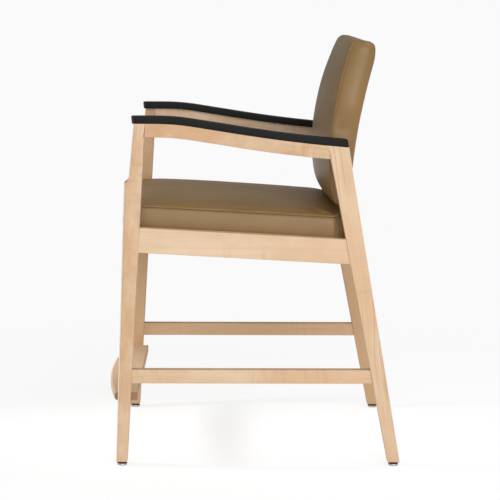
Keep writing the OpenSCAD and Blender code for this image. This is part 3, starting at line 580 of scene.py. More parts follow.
def arm_rail(side_name, side):
    upper = [front_back_edge(meets_arm(front_back_edge)), rear_front_edge(meets_arm(rear_front_edge))]
    lower = [front_back_edge(meets_arm(front_back_edge, ARM_RAIL_D)),
             rear_front_edge(meets_arm(rear_front_edge, ARM_RAIL_D))]
    outline = [(y, arm_line(y), 0.7, 0.0) for y in stations(*upper, 26)]
    outline[-1] = outline[-1][:2] + (0.0, 0.0)
    outline += [(y, arm_line(y) - ARM_RAIL_D, 2.0, 0.0) for y in stations(lower[1], lower[0], 26)]
    outline[-1] = outline[-1][:2] + (0.0, 0.0)
    wooden(f"arm_rail_wood_{side_name}", f"arm_rail_{side_name}", "arm_rail",
           outline, INNER_X, HALF_W, board_x(side))


def line_meets(edge, height):
    """Height at which a leg's edge meets the seat's sloping line, or a line below it."""
    z = SEAT_LINE_Z
    for _ in range(20):
        z = SEAT_LINE_Z - height / math.cos(SEAT_TILT) - math.tan(SEAT_TILT) * edge(z)
    return z


def seat_side_rail(side_name, side):
    outline = []
    for edge, height, run in (
        (front_back_edge, 0.0, EDGE_R),
        (rear_front_edge, 0.0, 0.0),
        (rear_front_edge, RAIL_D, EDGE_R),
        (front_back_edge, RAIL_D, 0.0),
    ):
        z = line_meets(edge, height)
        outline.append((edge(z), z, run, 0.0))
    wooden(f"seat_rail_wood_{side_name}", f"seat_side_rail_{side_name}", "side_rail",
           outline, INNER_X, HALF_W - 3, board_x(side))


def stretcher(side_name, side):
    low, high = 184.0, 214.5
    outline = [
        (front_back_edge(low), low, EDGE_R, 0.0),
        (rear_front_edge(low), low, 0.0, 0.0),
        (rear_front_edge(high), high, EDGE_R, 0.0),
        (front_back_edge(high), high, 0.0, 0.0),
    ]
    wooden(f"stretcher_wood_{side_name}", f"side_stretcher_{side_name}", "stretcher",
           outline, HALF_W - 26, HALF_W - 4, board_x(side))


def in_seat(x, y, z):
    """A point of the seat's sloping frame."""
    c, s = math.cos(SEAT_TILT), math.sin(SEAT_TILT)
    return at(x, y * c + z * s, SEAT_LINE_Z - y * s + z * c)


def cross_rail(end, front):
    """Rail across the seat's front or rear end, under the deck."""
    back = front + 26.0
    outline = [(front, -RAIL_D, EDGE_R, 0.0), (back, -RAIL_D, EDGE_R, 0.0),
               (back, DECK_Z, EDGE_R, 0.0), (front, DECK_Z, EDGE_R, 0.0)]
    wooden(f"{end}_cross_rail_wood", f"{end}_seat_rail", "cross",
           outline, -INNER_X, INNER_X, lambda p, q, level: in_seat(level, p, q))


def foot_board():
    """Foot board with its bowed, well rounded front edge."""
    radius, front_round, back_y = 1655.0, 6.0, 33.6
    centre = radius - BOARD_AHEAD
    outline = []
    for x in stations(-INNER_X, INNER_X, 40):
        outline.append((x, centre - math.sqrt(radius**2 - x**2), front_round, 0.0))
    outline[-1] = outline[-1][:2] + (0.0, 0.0)
    outline += [(INNER_X, back_y, 2.5, 0.0), (-INNER_X, back_y, 0.0, 0.0)]
    wooden("foot_board_wood", "foot_board", "cross", outline, 141.5, 159.0, at, widest=front_round)


# --- arm caps ---

# Rounding of a cap's outline from above, at its front corners, and along its upper edge
CAP_ROUND = 4.2
CAP_FRONT_R = 9.0
CAP_EDGE = 1.2
# How far a cap reaches past its post, and how far its front end is undercut, as a slope
CAP_AHEAD = 5.4
CAP_UNDERCUT = 0.11
# (inset, height) from the underside's middle up to the top
CAP_PROFILE = [(1.0, 0.0), (0.3, 0.3), (0.0, 1.0), (0.0, 7.0)] + [
    (CAP_EDGE * (1 - math.cos(math.radians(a))), CAP_T - CAP_EDGE + CAP_EDGE * math.sin(math.radians(a)))
    for a in range(0, 91, 18)
] + [(2.2, CAP_T + 0.05)]


def cap_plan(front, back):
    """Right half of a cap's outline from above: (centre x, centre y, normal x, normal y)."""
    side = CAP_W / 2 - CAP_ROUND
    turn = [math.radians(a) for a in range(0, 91, 15)]
    extra = CAP_FRONT_R - CAP_ROUND
    plan = []
    for a in turn:
        x, y = side - extra * (1 - math.sin(a)), front + CAP_FRONT_R - extra * math.cos(a)
        plan.append((x, y, math.sin(a), -math.cos(a)))
    plan += [(side, y, 1.0, 0.0) for y in stations(front + CAP_FRONT_R, back - CAP_ROUND, 44)[1:-1]]
    plan += [(side, back - CAP_ROUND, math.cos(a), math.sin(a)) for a in turn]
    return plan


def arm_cap(side_name, side, material):
    front = post_edge(ARM_Z) - CAP_AHEAD
    back = rear_back_edge(meets_arm(rear_back_edge))
    plan = cap_plan(front, back)
    middle = HALF_W - CAP_W / 2
    lean = math.tan(math.radians(9.85))

    def point(half, entry, inset, height):
        cx, cy, nx, ny = entry
        x = half * (cx + nx * (CAP_ROUND - inset))
        y = cy + ny * (CAP_ROUND - inset)
        near_end = min(1.0, max(0.0, (y - back + 45) / 45))
        y -= height * lean * near_end
        y += (CAP_T - height) * CAP_UNDERCUT * min(1.0, max(0.0, (front + 30 - y) / 30))
        return at(side * (middle + x), y, arm_line(y) + height)

    bm = bmesh.new()
    rows = []
    for inset, height in CAP_PROFILE:
        right = [bm.verts.new(point(1, entry, inset, height)) for entry in plan]
        left = [bm.verts.new(point(-1, entry, inset, height)) for entry in plan]
        rows.append((right, left))
    n = len(plan)
    for (r0, l0), (r1, l1) in zip(rows, rows[1:]):
        for j in range(n - 1):
            bm.faces.new((r0[j], r0[j + 1], r1[j + 1], r1[j]))
            bm.faces.new((l0[j + 1], l0[j], l1[j], l1[j + 1]))
        bm.faces.new((l0[0], r0[0], r1[0], l1[0]))
        bm.faces.new((r0[-1], l0[-1], l1[-1], r1[-1]))
    for r, l in (rows[0], rows[-1]):
        for j in range(n - 1):
            bm.faces.new((r[j], r[j + 1], l[j + 1], l[j]))
    name = f"arm_cap_moulding_{side_name}"
    piece = new_object(name, smooth_mesh(bm, name), material)
    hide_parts(f"arm_cap_{side_name}")


# --- upholstery ---


def rounded(corners, steps):
    """Points round an outline whose corners (x, y, radius) are rounded."""
    points = []
    n = len(corners)
    for i, (x, y, r) in enumerate(corners):
        q = np.array([x, y])
        u = np.array(corners[i - 1][:2]) - q
        v = np.array(corners[(i + 1) % n][:2]) - q
        u, v = u / np.linalg.norm(u), v / np.linalg.norm(v)
        half = math.acos(float(np.clip(u @ v, -1, 1))) / 2
        middle = q + (u + v) / np.linalg.norm(u + v) * r / math.sin(half)
        a, b = q + u * r / math.tan(half), q + v * r / math.tan(half)
        for k in range(steps + 1):
            d = (a - middle) * (1 - k / steps) + (b - middle) * k / steps
            points.append(middle + r * d / np.linalg.norm(d))
    return points


def divided(points, step):
    """The same outline with its long runs divided."""
    out = []
    for i, a in enumerate(points):
        b = points[(i + 1) % len(points)]
        n = max(1, math.ceil(np.linalg.norm(b - a) / step))
        out += [a + (b - a) * k / n for k in range(n)]
    return np.array(out)


def drawn_in(points, a, b, draw):
    """Sides that pull in between the corners."""
    u, v = points[:, 0] / a, points[:, 1] / b
    x = points[:, 0] * (1 - draw / a * (1 - v**2) * u**8)
    y = points[:, 1] * (1 - draw / b * (1 - u**2) * v**8)
    return np.column_stack([x, y])


# Shares of an outline at which a cushion's rings are laid, from its middle to its seam
RING_SHARES = (0.04, 0.1, 0.18, 0.26, 0.34, 0.42, 0.5, 0.58, 0.66, 0.73,
               0.79, 0.84, 0.88, 0.91, 0.94, 0.96, 0.98, 0.99, 1)

# Lengths of the seat in its sloping frame. Beside the rear legs it is notched.
SEAT_HALF_W, SEAT_FRONT, SEAT_BACK, SEAT_NOTCH_Y, SEAT_NOTCH_W = 266.0, 2.5, 514.0, 471.0, 34.0
SEAT_MID_Y = (SEAT_FRONT + SEAT_BACK) / 2
SEAT_HALF_D = (SEAT_BACK - SEAT_FRONT) / 2
SEAT_SEAM, SEAT_CROWN = 62.0, 26.0
# How much of the crown the cloth's own puff gives
SEAT_PUFF = 4.6
# Where the crown is highest, from -1 at the front to 1 at the rear
SEAT_PEAK = -0.35
SEAT_ROLL_H, SEAT_ROLL_W = 9.0, 11.0
# How far the cushions stop short of the deck's underside and of the back's rear face
SEAT_UNDER, BACK_BEHIND = 0.6, 1.6


def seat_outline(step=9.0, steps=6):
    notch = SEAT_NOTCH_Y - SEAT_MID_Y
    narrow = SEAT_HALF_W - SEAT_NOTCH_W
    right = [(SEAT_HALF_W, -SEAT_HALF_D, 22), (SEAT_HALF_W, notch, 15),
             (narrow, notch, 9), (narrow, SEAT_HALF_D, 22)]
    corners = right + [(-x, y, r) for x, y, r in reversed(right)]
    return drawn_in(divided(rounded(corners, steps), step), SEAT_HALF_W, SEAT_HALF_D, 3.0)


def edge_roll(k, half, width):
    """0 at the seam, rising like a quarter round to 1 at a width inside it."""
    inside = np.clip((1 - k) * half / width, 0, 1)
    return np.sqrt(1 - (1 - inside) ** 2)


def seat_height(x, y, k, crown):
    """Height of the seat's top over its deck's underside."""
    u, v = np.abs(x / SEAT_HALF_W), y / SEAT_HALF_D
    away = np.abs(v - SEAT_PEAK)
    ends = 1 - np.where(v > SEAT_PEAK, (away / (1 - SEAT_PEAK)) ** 1.9, (away / (1 + SEAT_PEAK)) ** 2.5)
    roll = SEAT_ROLL_H * edge_roll(k, SEAT_HALF_W, SEAT_ROLL_W)
    return SEAT_SEAM + roll + (crown - SEAT_ROLL_H) * (1 - u**3) * ends


def seat_point(x, y, w):
    return in_seat(x, y + SEAT_MID_Y, DECK_Z + w)


def seat_rings(outline, crown, bulge):
    rings = []
    for k in RING_SHARES:
        p = outline * k
        rings.append([seat_point(x, y, w) for (x, y), w in zip(p, seat_height(p[:, 0], p[:, 1], k, crown))])
    for t in stations(0, 1, 10)[1:]:
        k = 1 + bulge / SEAT_HALF_W * math.sin(math.pi * t) ** 0.8
        rings.append([seat_point(x * k, y * k, SEAT_SEAM * (1 - t) + SEAT_UNDER * t) for x, y in outline])
    for k in (0.985, 0.93, 0.8, 0.6, 0.35, 0.1):
        rings.append([seat_point(x * k, y * k, SEAT_UNDER) for x, y in outline])
    return rings


BACK_HALF_W, BACK_LOW, BACK_TOP, BACK_BOW = 258.0, 568.0, 924.5, 17.0
BACK_MID, BACK_HALF_H = (BACK_LOW + BACK_TOP) / 2, (BACK_TOP - BACK_LOW) / 2
BACK_SEAM, BACK_CROWN, BACK_PUFF = 62.0, 27.2, 3.0
# Share of the upper edge's bow that the rear face has
REAR_BOW_SHARE = 0.10
# How far the rear bends forward at the upper edge, and over what height
REAR_BEND, REAR_BEND_H = 14.0, 72.0
BACK_ROLL, BACK_ROLL_W = 4.0, 9.0
# How far the front's padding swells up over the seam at the upper edge
BACK_LIP = 2.2
# Rounding of the rear edge: its depth along the sides and the ends, and how far it comes in
BACK_EDGE_SIDE, BACK_EDGE_END, BACK_EDGE_IN = 31.0, 20.0, 17.0
# Bulge of the boxing above the arm caps, beside them, below them, and along the upper and lower edge
BULGE_HIGH, BULGE_BESIDE, BULGE_LOW, BULGE_ENDS = 10.0, 1.0, 4.0, 1.5


def gently(share):
    """A share from 0 to 1 that starts and ends slowly."""
    share = min(1.0, max(0.0, share))
    return share * share * (3 - 2 * share)


def back_face(z):
    return FOOT_SPACING - 100.0 + 1330.0 - math.sqrt(1330.0**2 - (z - 521.0) ** 2)


def back_thin(z):
    """Thickness of the back as a share: it slims a little at its top and below the shoulders."""
    slim = 1 - 0.055 * gently((848 - z) / 110) - 0.04 * gently((z - BACK_TOP + 18) / 18)
    u = min(1.0, max(0.0, (738 - z) / 180))
    return slim * max(0.3, (1 - u**1.2) ** 0.28)


def rear_bend(z):
    """How far the back's rear face bends forward towards its upper edge."""
    return REAR_BEND * max(0.0, (z - BACK_TOP + REAR_BEND_H) / REAR_BEND_H) ** 3.7


def back_point(x, s, w):
    """A point of the back, w ahead of its rear face. Its upper edge rises between the corners."""
    z = BACK_MID + s
    boxing = min(w, BACK_SEAM)
    rise = 0.0
    if s > 0:
        rise = BACK_BOW * max(0.0, 1 - (x / BACK_HALF_W) ** 2) * (s / BACK_HALF_H) ** 8
        rise *= REAR_BOW_SHARE + (1 - REAR_BOW_SHARE) * max(0.0, boxing / BACK_SEAM) ** 3.1
        rise += BACK_LIP * gently((w - BACK_SEAM) / 6) * (s / BACK_HALF_H) ** 8
    bend = rear_bend(z) * (1 - max(0.0, boxing) / BACK_SEAM)
    y = back_face(z) - bend - boxing * back_thin(z) - (w - boxing)
    return at(x, y, z + rise)


def back_outline(step=8.0, steps=6):
    corners = [(a * BACK_HALF_W, b * BACK_HALF_H, 18) for a, b in ((1, -1), (1, 1), (-1, 1), (-1, -1))]
    return drawn_in(divided(rounded(corners, steps), step), BACK_HALF_W, BACK_HALF_H, 3.0)


def outward(outline):
    """Directions that point out of a closed outline, one for each of its points."""
    along = np.roll(outline, -1, axis=0) - np.roll(outline, 1, axis=0)
    out = np.column_stack([along[:, 1], -along[:, 0]])
    return out / np.linalg.norm(out, axis=1)[:, None]


def back_bulge(outline, out):
    """How far the boxing may stand out at each point of the outline."""
    amounts = []
    for (_, s), (nx, _) in zip(outline, out):
        z = BACK_MID + s
        side = BULGE_BESIDE + (BULGE_HIGH - BULGE_BESIDE) * gently((z - 730) / 60)
        side += (BULGE_LOW - BULGE_BESIDE) * gently((692 - z) / 40)
        amounts.append(side * abs(nx) + BULGE_ENDS * (1 - abs(nx)))
    return np.array(amounts)


def back_height(x, s, k, crown):
    """Distance of the back's front from its rear face."""
    u, v = np.abs(x / BACK_HALF_W), np.abs(s / BACK_HALF_H)
    slope = np.where(s > 0, 0.8, 0.3)
    rise = (1 - u**2.6) * (1 - slope * (v + 0.04 * np.sign(s)) ** np.where(s > 0, 2.4, 2.0))
    roll = BACK_ROLL * edge_roll(k, BACK_HALF_W, BACK_ROLL_W)
    return BACK_SEAM + roll + (crown * rise - BACK_ROLL) * (1 - k ** np.where(s > 0, 10, 28))


def back_rings(outline, crown, bulge_share):
    rings = []
    for k in RING_SHARES:
        p = outline * k
        rings.append([back_point(x, s, w) for (x, s), w in zip(p, back_height(p[:, 0], p[:, 1], k, crown))])
    out = outward(outline)
    bulge = back_bulge(outline, out) * bulge_share
    deep = BACK_EDGE_END + (BACK_EDGE_SIDE - BACK_EDGE_END) * np.abs(out[:, 0])
    tight = BACK_EDGE_IN * (1 - 0.6 * np.abs(out[:, 0] * out[:, 1]))
    for t in stations(0, 1, 8)[1:]:
        line = outline + out * (bulge * math.sin(math.pi / 2 * t) ** 0.9)[:, None]
        rings.append([back_point(x, s, BACK_SEAM + (d - BACK_SEAM) * t) for (x, s), d in zip(line, deep)])
    for angle in range(12, 91, 13):
        turn = math.radians(angle)
        line = outline + out * (bulge - tight * (1 - math.cos(turn)))[:, None]
        rings.append([back_point(x, s, d * (1 - math.sin(turn))) for (x, s), d in zip(line, deep)])
    inner = outline - out * BACK_EDGE_IN
    for k in (0.9, 0.75, 0.55, 0.3, 0.1):
        rings.append([back_point(x, s, BACK_BEHIND) for x, s in inner * k])
    return rings


def beside_caps(piece):
    """Keeps the back's sides clear of the arm caps, where the padding is pressed in."""
    cap_back = rear_back_edge(meets_arm(rear_back_edge))
    mesh = piece.data
    co = coordinates(mesh)
    for i, (x, y, z) in enumerate(co / MM):
        y -= ORIGIN_Y
        up = max(0.0, abs(z - arm_line(min(y, cap_back)) - CAP_T / 2) - 9.0)
        behind = max(0.0, y - cap_back)
        room = HALF_W - CAP_W - 0.4 + 9.0 * (1 - math.exp(-(up**2 + behind**2) / 18.0**2))
        over = abs(x) - (room - 2.0)
        if over > 0:
            co[i][0] = math.copysign(room - 2.0 * math.exp(-over / 2.0), x) * MM
    set_coordinates(mesh, co)


def seam_tree(line):
    tree = KDTree(len(line))
    for i, p in enumerate(line):
        tree.insert(p, i)
    tree.balance()
    return tree


def dense(line, step=0.002):
    """The same closed line, with points no further apart than the step."""
    out = []
    for a, b in zip(line, line[1:] + line[:1]):
        n = max(1, math.ceil((b - a).length / step))
        out += [a.lerp(b, k / n) for k in range(n)]
    return out


def remesh(piece, voxel):
    change = piece.modifiers.new("even_mesh", "REMESH")
    change.mode = "VOXEL"
    change.voxel_size = voxel
    change.use_smooth_shade = True
    settle_modifiers(piece)


def coordinates(mesh):
    co = np.zeros(len(mesh.vertices) * 3)
    mesh.vertices.foreach_get("co", co)
    return co.reshape(-1, 3)


def set_coordinates(mesh, co):
    mesh.vertices.foreach_set("co", np.asarray(co, float).ravel())
    mesh.update()


def puff(piece, held, pressure, limit):
    """Blows a cushion up like cloth round the points that are held, and lets nothing move past the limit."""
    rest = coordinates(piece.data)
    group = piece.vertex_groups.new(name="held")
    for i, weight in enumerate(held):
        if weight > 0:
            group.add([i], float(weight), "REPLACE")
    cloth = piece.modifiers.new("puff", "CLOTH")
    settings = cloth.settings
    settings.quality = 4
    settings.mass = 0.3
    settings.tension_stiffness = settings.compression_stiffness = 18
    settings.shear_stiffness = 8
    settings.bending_stiffness = 1.2
    settings.use_pressure = True
    settings.uniform_pressure_force = pressure
    settings.vertex_group_mass = "held"
    settings.effector_weights.gravity = 0
    cloth.point_cache.frame_start = 1
    cloth.point_cache.frame_end = 20
    scene = bpy.context.scene
    for number in range(1, 21):
        scene.frame_set(number)
    graph = bpy.context.evaluated_depsgraph_get()
    blown = piece.evaluated_get(graph)
    moved = coordinates(blown.data)
    piece.modifiers.clear()
    scene.frame_set(1)
    step = moved - rest
    size = np.linalg.norm(step, axis=1)
    size[size < 1e-9] = 1e-9
    allowed = limit * np.tanh(size / limit)
    set_coordinates(piece.data, rest + step * (allowed / size)[:, None])


def smooth_once(piece):
    """One level of subdivision, so that the cushion's surface is even."""
    change = piece.modifiers.new("finer", "SUBSURF")
    change.levels = change.render_levels = 1
    settle_modifiers(piece)
    for polygon in piece.data.polygons:
        polygon.use_smooth = True


def press_seams(piece, seams):
    """Presses grooves along lines into a cushion. Each seam is (line, depth, reach)."""
    mesh = piece.data
    co = coordinates(mesh)
    normals = np.zeros(len(mesh.vertices) * 3)
    mesh.vertices.foreach_get("normal", normals)
    normals = normals.reshape(-1, 3)
    for line, depth, reach in seams:
        tree = seam_tree(line)
        for i, p in enumerate(co):
            distance = tree.find(p)[2]
            if distance < reach * 3:
                co[i] = p - normals[i] * depth * math.exp(-((distance / reach) ** 2))
    set_coordinates(mesh, co)


def tube(name, line, radius, material, sides=8):
    """A thin sewn edge that follows a closed line."""
    rings = []
    n = len(line)
    for i in range(n):
        p = line[i]
        along = (line[(i + 1) % n] - line[i - 1]).normalized()
        out = along.cross(Vector((0, 0, 1)))
        if out.length < 0.2:
            out = along.cross(Vector((1, 0, 0)))
        out.normalize()
        up = out.cross(along)
        rings.append([p + (out * math.cos(a) + up * math.sin(a)) * radius
                      for a in [2 * math.pi * k / sides for k in range(sides)]])
    return grid_mesh(name, rings + rings[:1], material=material)


def on_surface(piece, line, lift):
    """The line, moved to a small height over a piece's surface."""
    mesh = piece.data
    faces = [tuple(p.vertices) for p in mesh.polygons]
    tree = BVHTree.FromPolygons([v.co.copy() for v in mesh.vertices], faces)
    out = []
    for p in line:
        hit, normal, _, _ = tree.find_nearest(p)
        out.append(hit + normal * lift)
    return out


def evened(line):
    """The same closed line, smoothed a little."""
    for _ in range(2):
        n = len(line)
        line = [(line[i - 1] + line[i] * 2 + line[(i + 1) % n]) / 4 for i in range(n)]
    return line


def held_near(piece, line, reach, full):
    """Holding weights: 1 on a seam line, falling to 0 at its reach, and 1 where full says so."""
    tree = seam_tree(line)
    return [1.0 if full(v.co) else max(0.0, 1 - tree.find(v.co)[2] / reach) for v in piece.data.vertices]


def sewn_edge(name, piece, seam, material):
    """The cover's sewn edge, laid along the seam on a cushion."""
    edge = tube(name, evened(on_surface(piece, seam[::2], 0.0001)), 0.0009, material)


def seat_cushion(material, edge_material):
    outline = seat_outline()
    fine_outline = seat_outline(3.0, 10)
    seam = dense([seat_point(x, y, SEAT_SEAM) for x, y in fine_outline])
    crown = SEAT_CROWN - SEAT_PUFF
    bulge = 2.8
    rings = seat_rings(outline, crown, bulge)
    tips = seat_point(0, 0, SEAT_SEAM + crown), seat_point(0, 0, SEAT_UNDER)
    piece = grid_mesh("seat_cushion", rings, *tips, material)
    remesh(piece, 0.0055)

    def under(p):
        along = p.y / MM - ORIGIN_Y
        line = SEAT_LINE_Z + DECK_Z - math.tan(SEAT_TILT) * along
        return p.z / MM < line + 7.0

    puff(piece, held_near(piece, seam, 0.007, under), 5.0, 0.0045)
    smooth_once(piece)
    topstitch = [seat_point(x * 0.956, y * 0.956, SEAT_SEAM + SEAT_ROLL_H) for x, y in fine_outline]
    topstitch = dense(on_surface(piece, topstitch, 0.0))
    press_seams(piece, [(seam, 0.0012, 0.0026), (topstitch, 0.0016, 0.0030)])
    sewn_edge("seat_sewn_edge", piece, seam, edge_material)
    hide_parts("seat_cover", "seat_foam")


def back_cushion(material, edge_material):
    outline = back_outline()
    fine_outline = back_outline(3.0, 10)
    seam = dense([back_point(x, s, BACK_SEAM) for x, s in fine_outline])
    crown = BACK_CROWN - BACK_PUFF
    rings = back_rings(outline, crown, 1.0)
    tips = back_point(0, 0, BACK_SEAM + crown), back_point(0, 0, BACK_BEHIND)
    piece = grid_mesh("back_cushion", rings, *tips, material)
    remesh(piece, 0.005)

    def behind(p):
        z = p.z / MM
        return p.y / MM - ORIGIN_Y > back_face(z) - rear_bend(z) - 4.5

    puff(piece, held_near(piece, seam, 0.006, behind), 5.0, 0.0045)
    beside_caps(piece)
    smooth_once(piece)
    press_seams(piece, [(seam, 0.0014, 0.0028)])
    sewn_edge("back_sewn_edge", piece, seam, edge_material)
    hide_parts("back_cover", "back_foam")


def rear_panel(material):
    """The covered panel that closes the back behind, with a small rounded edge."""
    outline = back_outline()
    inner = outline - outward(outline) * (BACK_EDGE_IN - 2.0)
    ahead = [(k, 2.6) for k in (0.1, 0.5, 0.9, 1.0)]
    edge = [(1.002, 1.6), (1.0, 0.8), (0.996, 0.2)]
    behind = [(k, 0.0) for k in (0.99, 0.96, 0.9, 0.8, 0.65, 0.5, 0.35, 0.2, 0.1)]
    rings = [[back_point(x, s, w) for x, s in inner * k] for k, w in ahead + edge + behind]
    piece = grid_mesh("rear_cover_panel", rings, back_point(0, 0, 2.6), back_point(0, 0, 0.0), material)
    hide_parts("back_rear_cover")


def dust_cover(material):
    """Black cloth stapled under the deck, sagging a little between its edges."""
    z = DECK_Z - 0.8
    deck_in, cloth_in, sag_by = 7.3, 6.0, 1.2
    x = SEAT_HALF_W - deck_in - cloth_in
    front, back, cut = 34.3, 499.7, 70 - (INNER_X - x) + 0.6
    corners = [(cut - x, front), (x - cut, front), (x, front + cut), (x, back - cut),
               (x - cut, back), (cut - x, back), (-x, back - cut), (-x, front + cut)]
    middle = Vector((0.0, (front + back) / 2))
    ring = [Vector(c) for c in corners]
    edge = []
    for a, b in zip(ring, ring[1:] + ring[:1]):
        edge += [a.lerp(b, k / 12) for k in range(12)]
    rings = []
    for level, shares in ((0.7, stations(0.06, 0.995, 12)), (0.0, stations(1.0, 0.06, 12))):
        for k in shares:
            sag = sag_by * (1 - k**2)
            row = []
            for i, p in enumerate(edge):
                ripple = 0.25 * math.sin(i * 1.7) * k**6
                q = middle + (p - middle) * k
                row.append(in_seat(q.x, q.y, z + level + ripple * 0.3 - sag))
            rings.append(row)
    tips = in_seat(0, middle.y, z + 0.7 - sag_by), in_seat(0, middle.y, z - sag_by)
    piece = grid_mesh("dust_cloth", rings, *tips, material)
    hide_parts("dust_cover")


# --- glides ---

# (radius, height) round a glide's axis, and the two ends of its stem
GLIDE_BASE = [(2.0, 0.0), (9.4, 0.0), (10.5, 0.35), (11.0, 1.1),
              (11.0, 4.0), (10.7, 4.6), (10.2, 4.8), (4.1, 4.8)]
GLIDE_RING = [(4.2, 4.82), (10.3, 4.82), (10.9, 5.2), (11.0, 6.2),
              (10.9, 7.6), (10.6, 8.8), (10.0, 9.25), (4.2, 9.3)]
GLIDE_STEM = (9.2, 32.0)


def lathe(name, x, y, profile, material, body, sides=48):
    """A turned piece over a profile of (radius, height)."""
    rings = [[at(x + r * math.cos(2 * math.pi * k / sides), y + r * math.sin(2 * math.pi * k / sides), z)
              for k in range(sides)] for r, z in profile]
    return grid_mesh(name, rings, at(x, y, profile[0][1]), at(x, y, profile[-1][1]), material, body)


def threaded_stem(name, x, y, low, high, material, body, pitch=1.25, radius=4.0, depth=0.55):
    """A stem with a V thread cut into it."""
    sides = 24
    rings = []
    count = int((high - low) / pitch * 4)
    for i in range(count + 1):
        z = low + (high - low) * i / count
        row = []
        for k in range(sides):
            turn = (z / pitch - k / sides) % 1.0
            r = radius - depth * abs(turn * 2 - 1) if 0 < i < count else radius - depth
            angle = 2 * math.pi * k / sides
            row.append(at(x + r * math.cos(angle), y + r * math.sin(angle), z))
        rings.append(row)
    return grid_mesh(name, rings, at(x, y, low), at(x, y, high), material, body)


def glide(corner, x, y, steel, black, zinc):
    body = f"glide_{corner}"
    base = lathe(f"glide_foot_{corner}", x, y, GLIDE_BASE, steel, body)
    ring = lathe(f"glide_cushion_{corner}", x, y, GLIDE_RING, black, body)
    stem = threaded_stem(f"glide_thread_{corner}", x, y, *GLIDE_STEM, zinc, body)
    for piece, node, slot in ((base, "glide_base", "glide_steel"), (ring, "glide_ring", "glide_rubber"),
                              (stem, "glide_stem", "plated_steel")):
        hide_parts(f"{node}_{corner}")


# --- the whole chair ---


def carried_over(finishes):
    """Gives the remaining solids their finish."""
    nodes = {
        "hardwood": ["corner_blocks", "side_rail_dowels", "cross_rail_dowels", "stretcher_dowels",
                     "arm_rail_dowels", "foot_board_dowels", "back_cleats"],
        "plywood": ["seat_deck", "back_panel"],
        "zinc": ["corner_block_screws", "deck_screws", "arm_cap_bolts", "back_pins", "glide_inserts"],
        "brass": ["arm_cap_inserts"],
        "trim": ["back_spacers"],
    }
    for finish, names in nodes.items():
        for name in names:
            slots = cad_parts[name].data.materials
            slots.clear()
            slots.append(finishes[finish])


def build_chair():
    cover = vinyl()
    # Painted shade along the seat's seam, and a painted highlight along the back's
    seat_edge = stitch_vinyl("seat_seam_painted_shade", rgb(108, 82, 46), rgb(90, 66, 36))
    back_edge = stitch_vinyl("back_seam_painted_highlight", rgb(160, 129, 90), rgb(140, 110, 74))
    black = moulded_black()
    zinc = metal("zinc_plate", rgb(196, 196, 192), 0.30)
    finishes = {
        "hardwood": end_grain(),
        "plywood": plywood(),
        "zinc": zinc,
        "brass": metal("brass", rgb(206, 172, 96), 0.28),
        "trim": black_cloth("black_trim", 2600.0),
    }
    for side_name, side in SIDES:
        front_leg(side_name, side)
        rear_leg(side_name, side)
        arm_rail(side_name, side)
        seat_side_rail(side_name, side)
        stretcher(side_name, side)
        arm_cap(side_name, side, black)
    cross_rail("front", 8.0)
    cross_rail("rear", 500.0)
    foot_board()
    seat_cushion(cover, seat_edge)
    back_cushion(cover, back_edge)
    rear_panel(cover)
    dust_cover(black_cloth("dust_cloth_black", 900.0))
    steel, soft = metal("glide_steel", rgb(188, 186, 182), 0.22), rubber()
    for side_name, side in SIDES:
        for end, y in (("front", 0.0), ("rear", FOOT_SPACING)):
            glide(f"{end}_{side_name}", side * 290.0, y, steel, soft, zinc)
    carried_over(finishes)


# --- floor, light and camera ---

BACKDROP_LEVEL = 0.955
# Share of the floor's own light near the chair, and that light's level where nothing shades it
FLOOR_SHARE, FLOOR_LIGHT = 0.4, 0.50


def floor():
    """A pale floor that shows nearly white to the camera and keeps the chair's soft shadow."""
    mesh = bpy.data.meshes.new("floor")
    size = 14.0
    corners = [(-size, -size, 0), (size, -size, 0), (size, size, 0), (-size, size, 0)]
    mesh.from_pydata(corners, [], [(0, 1, 2, 3)])
    piece = bpy.data.objects.new("floor", mesh)
    bpy.context.scene.collection.objects.link(piece)
    f = Finish("pale_floor")
    f.set(Base_Color=rgb(236, 236, 236), Roughness=0.9)
    # Near the chair the floor keeps a share of its own light and shadow, and further out it is plain
    distance = f.node("VectorMath", {"operation": "LENGTH"}, {0: f.place()}, output="Value")
    own = (1 - f.ramp(distance, 0.7, 1.7)) * FLOOR_SHARE
    level = (BACKDROP_LEVEL - own * FLOOR_LIGHT) / (1 - own)
    glow = f.node("Emission", None, {"Color": f.point(level, level, level), "Strength": 1.0})
    camera_ray, glossy_ray = (f.node("LightPath", output=f"Is {kind} Ray") for kind in ("Camera", "Glossy"))
    seen = f.maths("MAXIMUM", camera_ray, glossy_ray)
    surface = Socket(f, f.surface.outputs[0])
    mixed = f.node("MixShader", None, {0: seen * (1 - own), 1: surface, 2: glow})
    f.feed(f.tree.nodes["Material Output"].inputs["Surface"], mixed)
    mesh.materials.append(f.material)


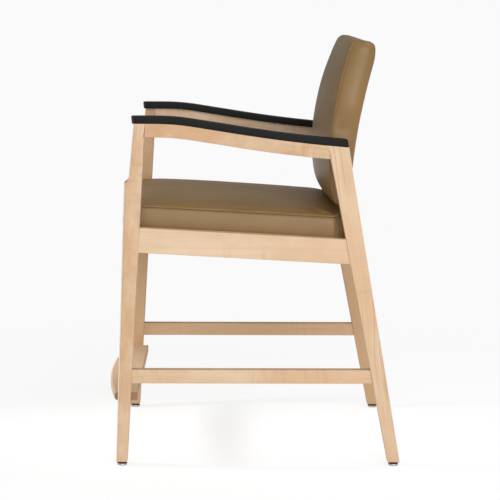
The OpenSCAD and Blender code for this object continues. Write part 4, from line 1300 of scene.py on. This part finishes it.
def backdrop_world():
    world = bpy.data.worlds.new("studio")
    bpy.context.scene.world = world
    world.use_nodes = True
    tree = world.node_tree
    background = tree.nodes["Background"]
    path = tree.nodes.new("ShaderNodeLightPath")
    seen = tree.nodes.new("ShaderNodeMath")
    seen.operation = "MAXIMUM"
    tree.links.new(path.outputs["Is Camera Ray"], seen.inputs[0])
    tree.links.new(path.outputs["Is Transmission Ray"], seen.inputs[1])
    strength = tree.nodes.new("ShaderNodeMapRange")
    strength.inputs[3].default_value = 0.36
    strength.inputs[4].default_value = BACKDROP_LEVEL
    tree.links.new(seen.outputs[0], strength.inputs[0])
    background.inputs["Color"].default_value = (1.0, 1.0, 1.0, 1.0)
    tree.links.new(strength.outputs[0], background.inputs["Strength"])


def lamp(name, place, target, size, power, spread=180):
    """A soft square lamp that points at a target and lights a cone of some degrees."""
    data = bpy.data.lights.new(name, "AREA")
    data.spread = math.radians(spread)
    data.shape = "SQUARE"
    data.size = size
    data.energy = power
    made = bpy.data.objects.new(name, data)
    bpy.context.scene.collection.objects.link(made)
    made.location = place
    made.rotation_euler = (Vector(target) - Vector(place)).to_track_quat("-Z", "Y").to_euler()


def camera():
    """The camera that took the photograph, worked out from the chair's own lines."""
    pitch, yaw, roll = (math.radians(a) for a in (7.786, -0.76, 0.284))
    base = Matrix(((0, 1, 0), (0, 0, -1), (-1, 0, 0)))
    tilt = Matrix(((1, 0, 0), (0, math.cos(pitch), -math.sin(pitch)), (0, math.sin(pitch), math.cos(pitch))))
    swing = Matrix(((math.cos(yaw), 0, math.sin(yaw)), (0, 1, 0), (-math.sin(yaw), 0, math.cos(yaw))))
    bank = Matrix(((math.cos(roll), -math.sin(roll), 0), (math.sin(roll), math.cos(roll), 0), (0, 0, 1)))
    right, down, ahead = bank @ tilt @ swing @ base
    data = bpy.data.cameras.new("camera")
    data.lens = 130.03
    data.sensor_width = 36.0
    made = bpy.data.objects.new("camera", data)
    bpy.context.scene.collection.objects.link(made)
    turn = Matrix((right, -down, -ahead)).transposed()
    made.matrix_world = Matrix.Translation(at(4160.9, 227.0, 1006.0)) @ turn.to_4x4()
    bpy.context.scene.camera = made


def studio():
    floor()
    backdrop_world()
    chair_middle, board_middle = (0, 0, 0.5), (0, -0.3, 0.17)
    lamp("key", (4.9, 1.4, 1.7), chair_middle, 2.6, 117)
    lamp("fill", (5.0, -1.9, 1.4), chair_middle, 3.0, 40)
    lamp("top", (0.6, -0.9, 3.3), chair_middle, 2.0, 9)
    lamp("top_rear", (0.5, 1.3, 3.2), chair_middle, 1.6, 17)
    lamp("board", (0.1, -1.8, 1.15), board_middle, 0.3, 0.74, 26)
    camera()
    bpy.context.scene.view_settings.view_transform = "Standard"


build_chair()
studio()
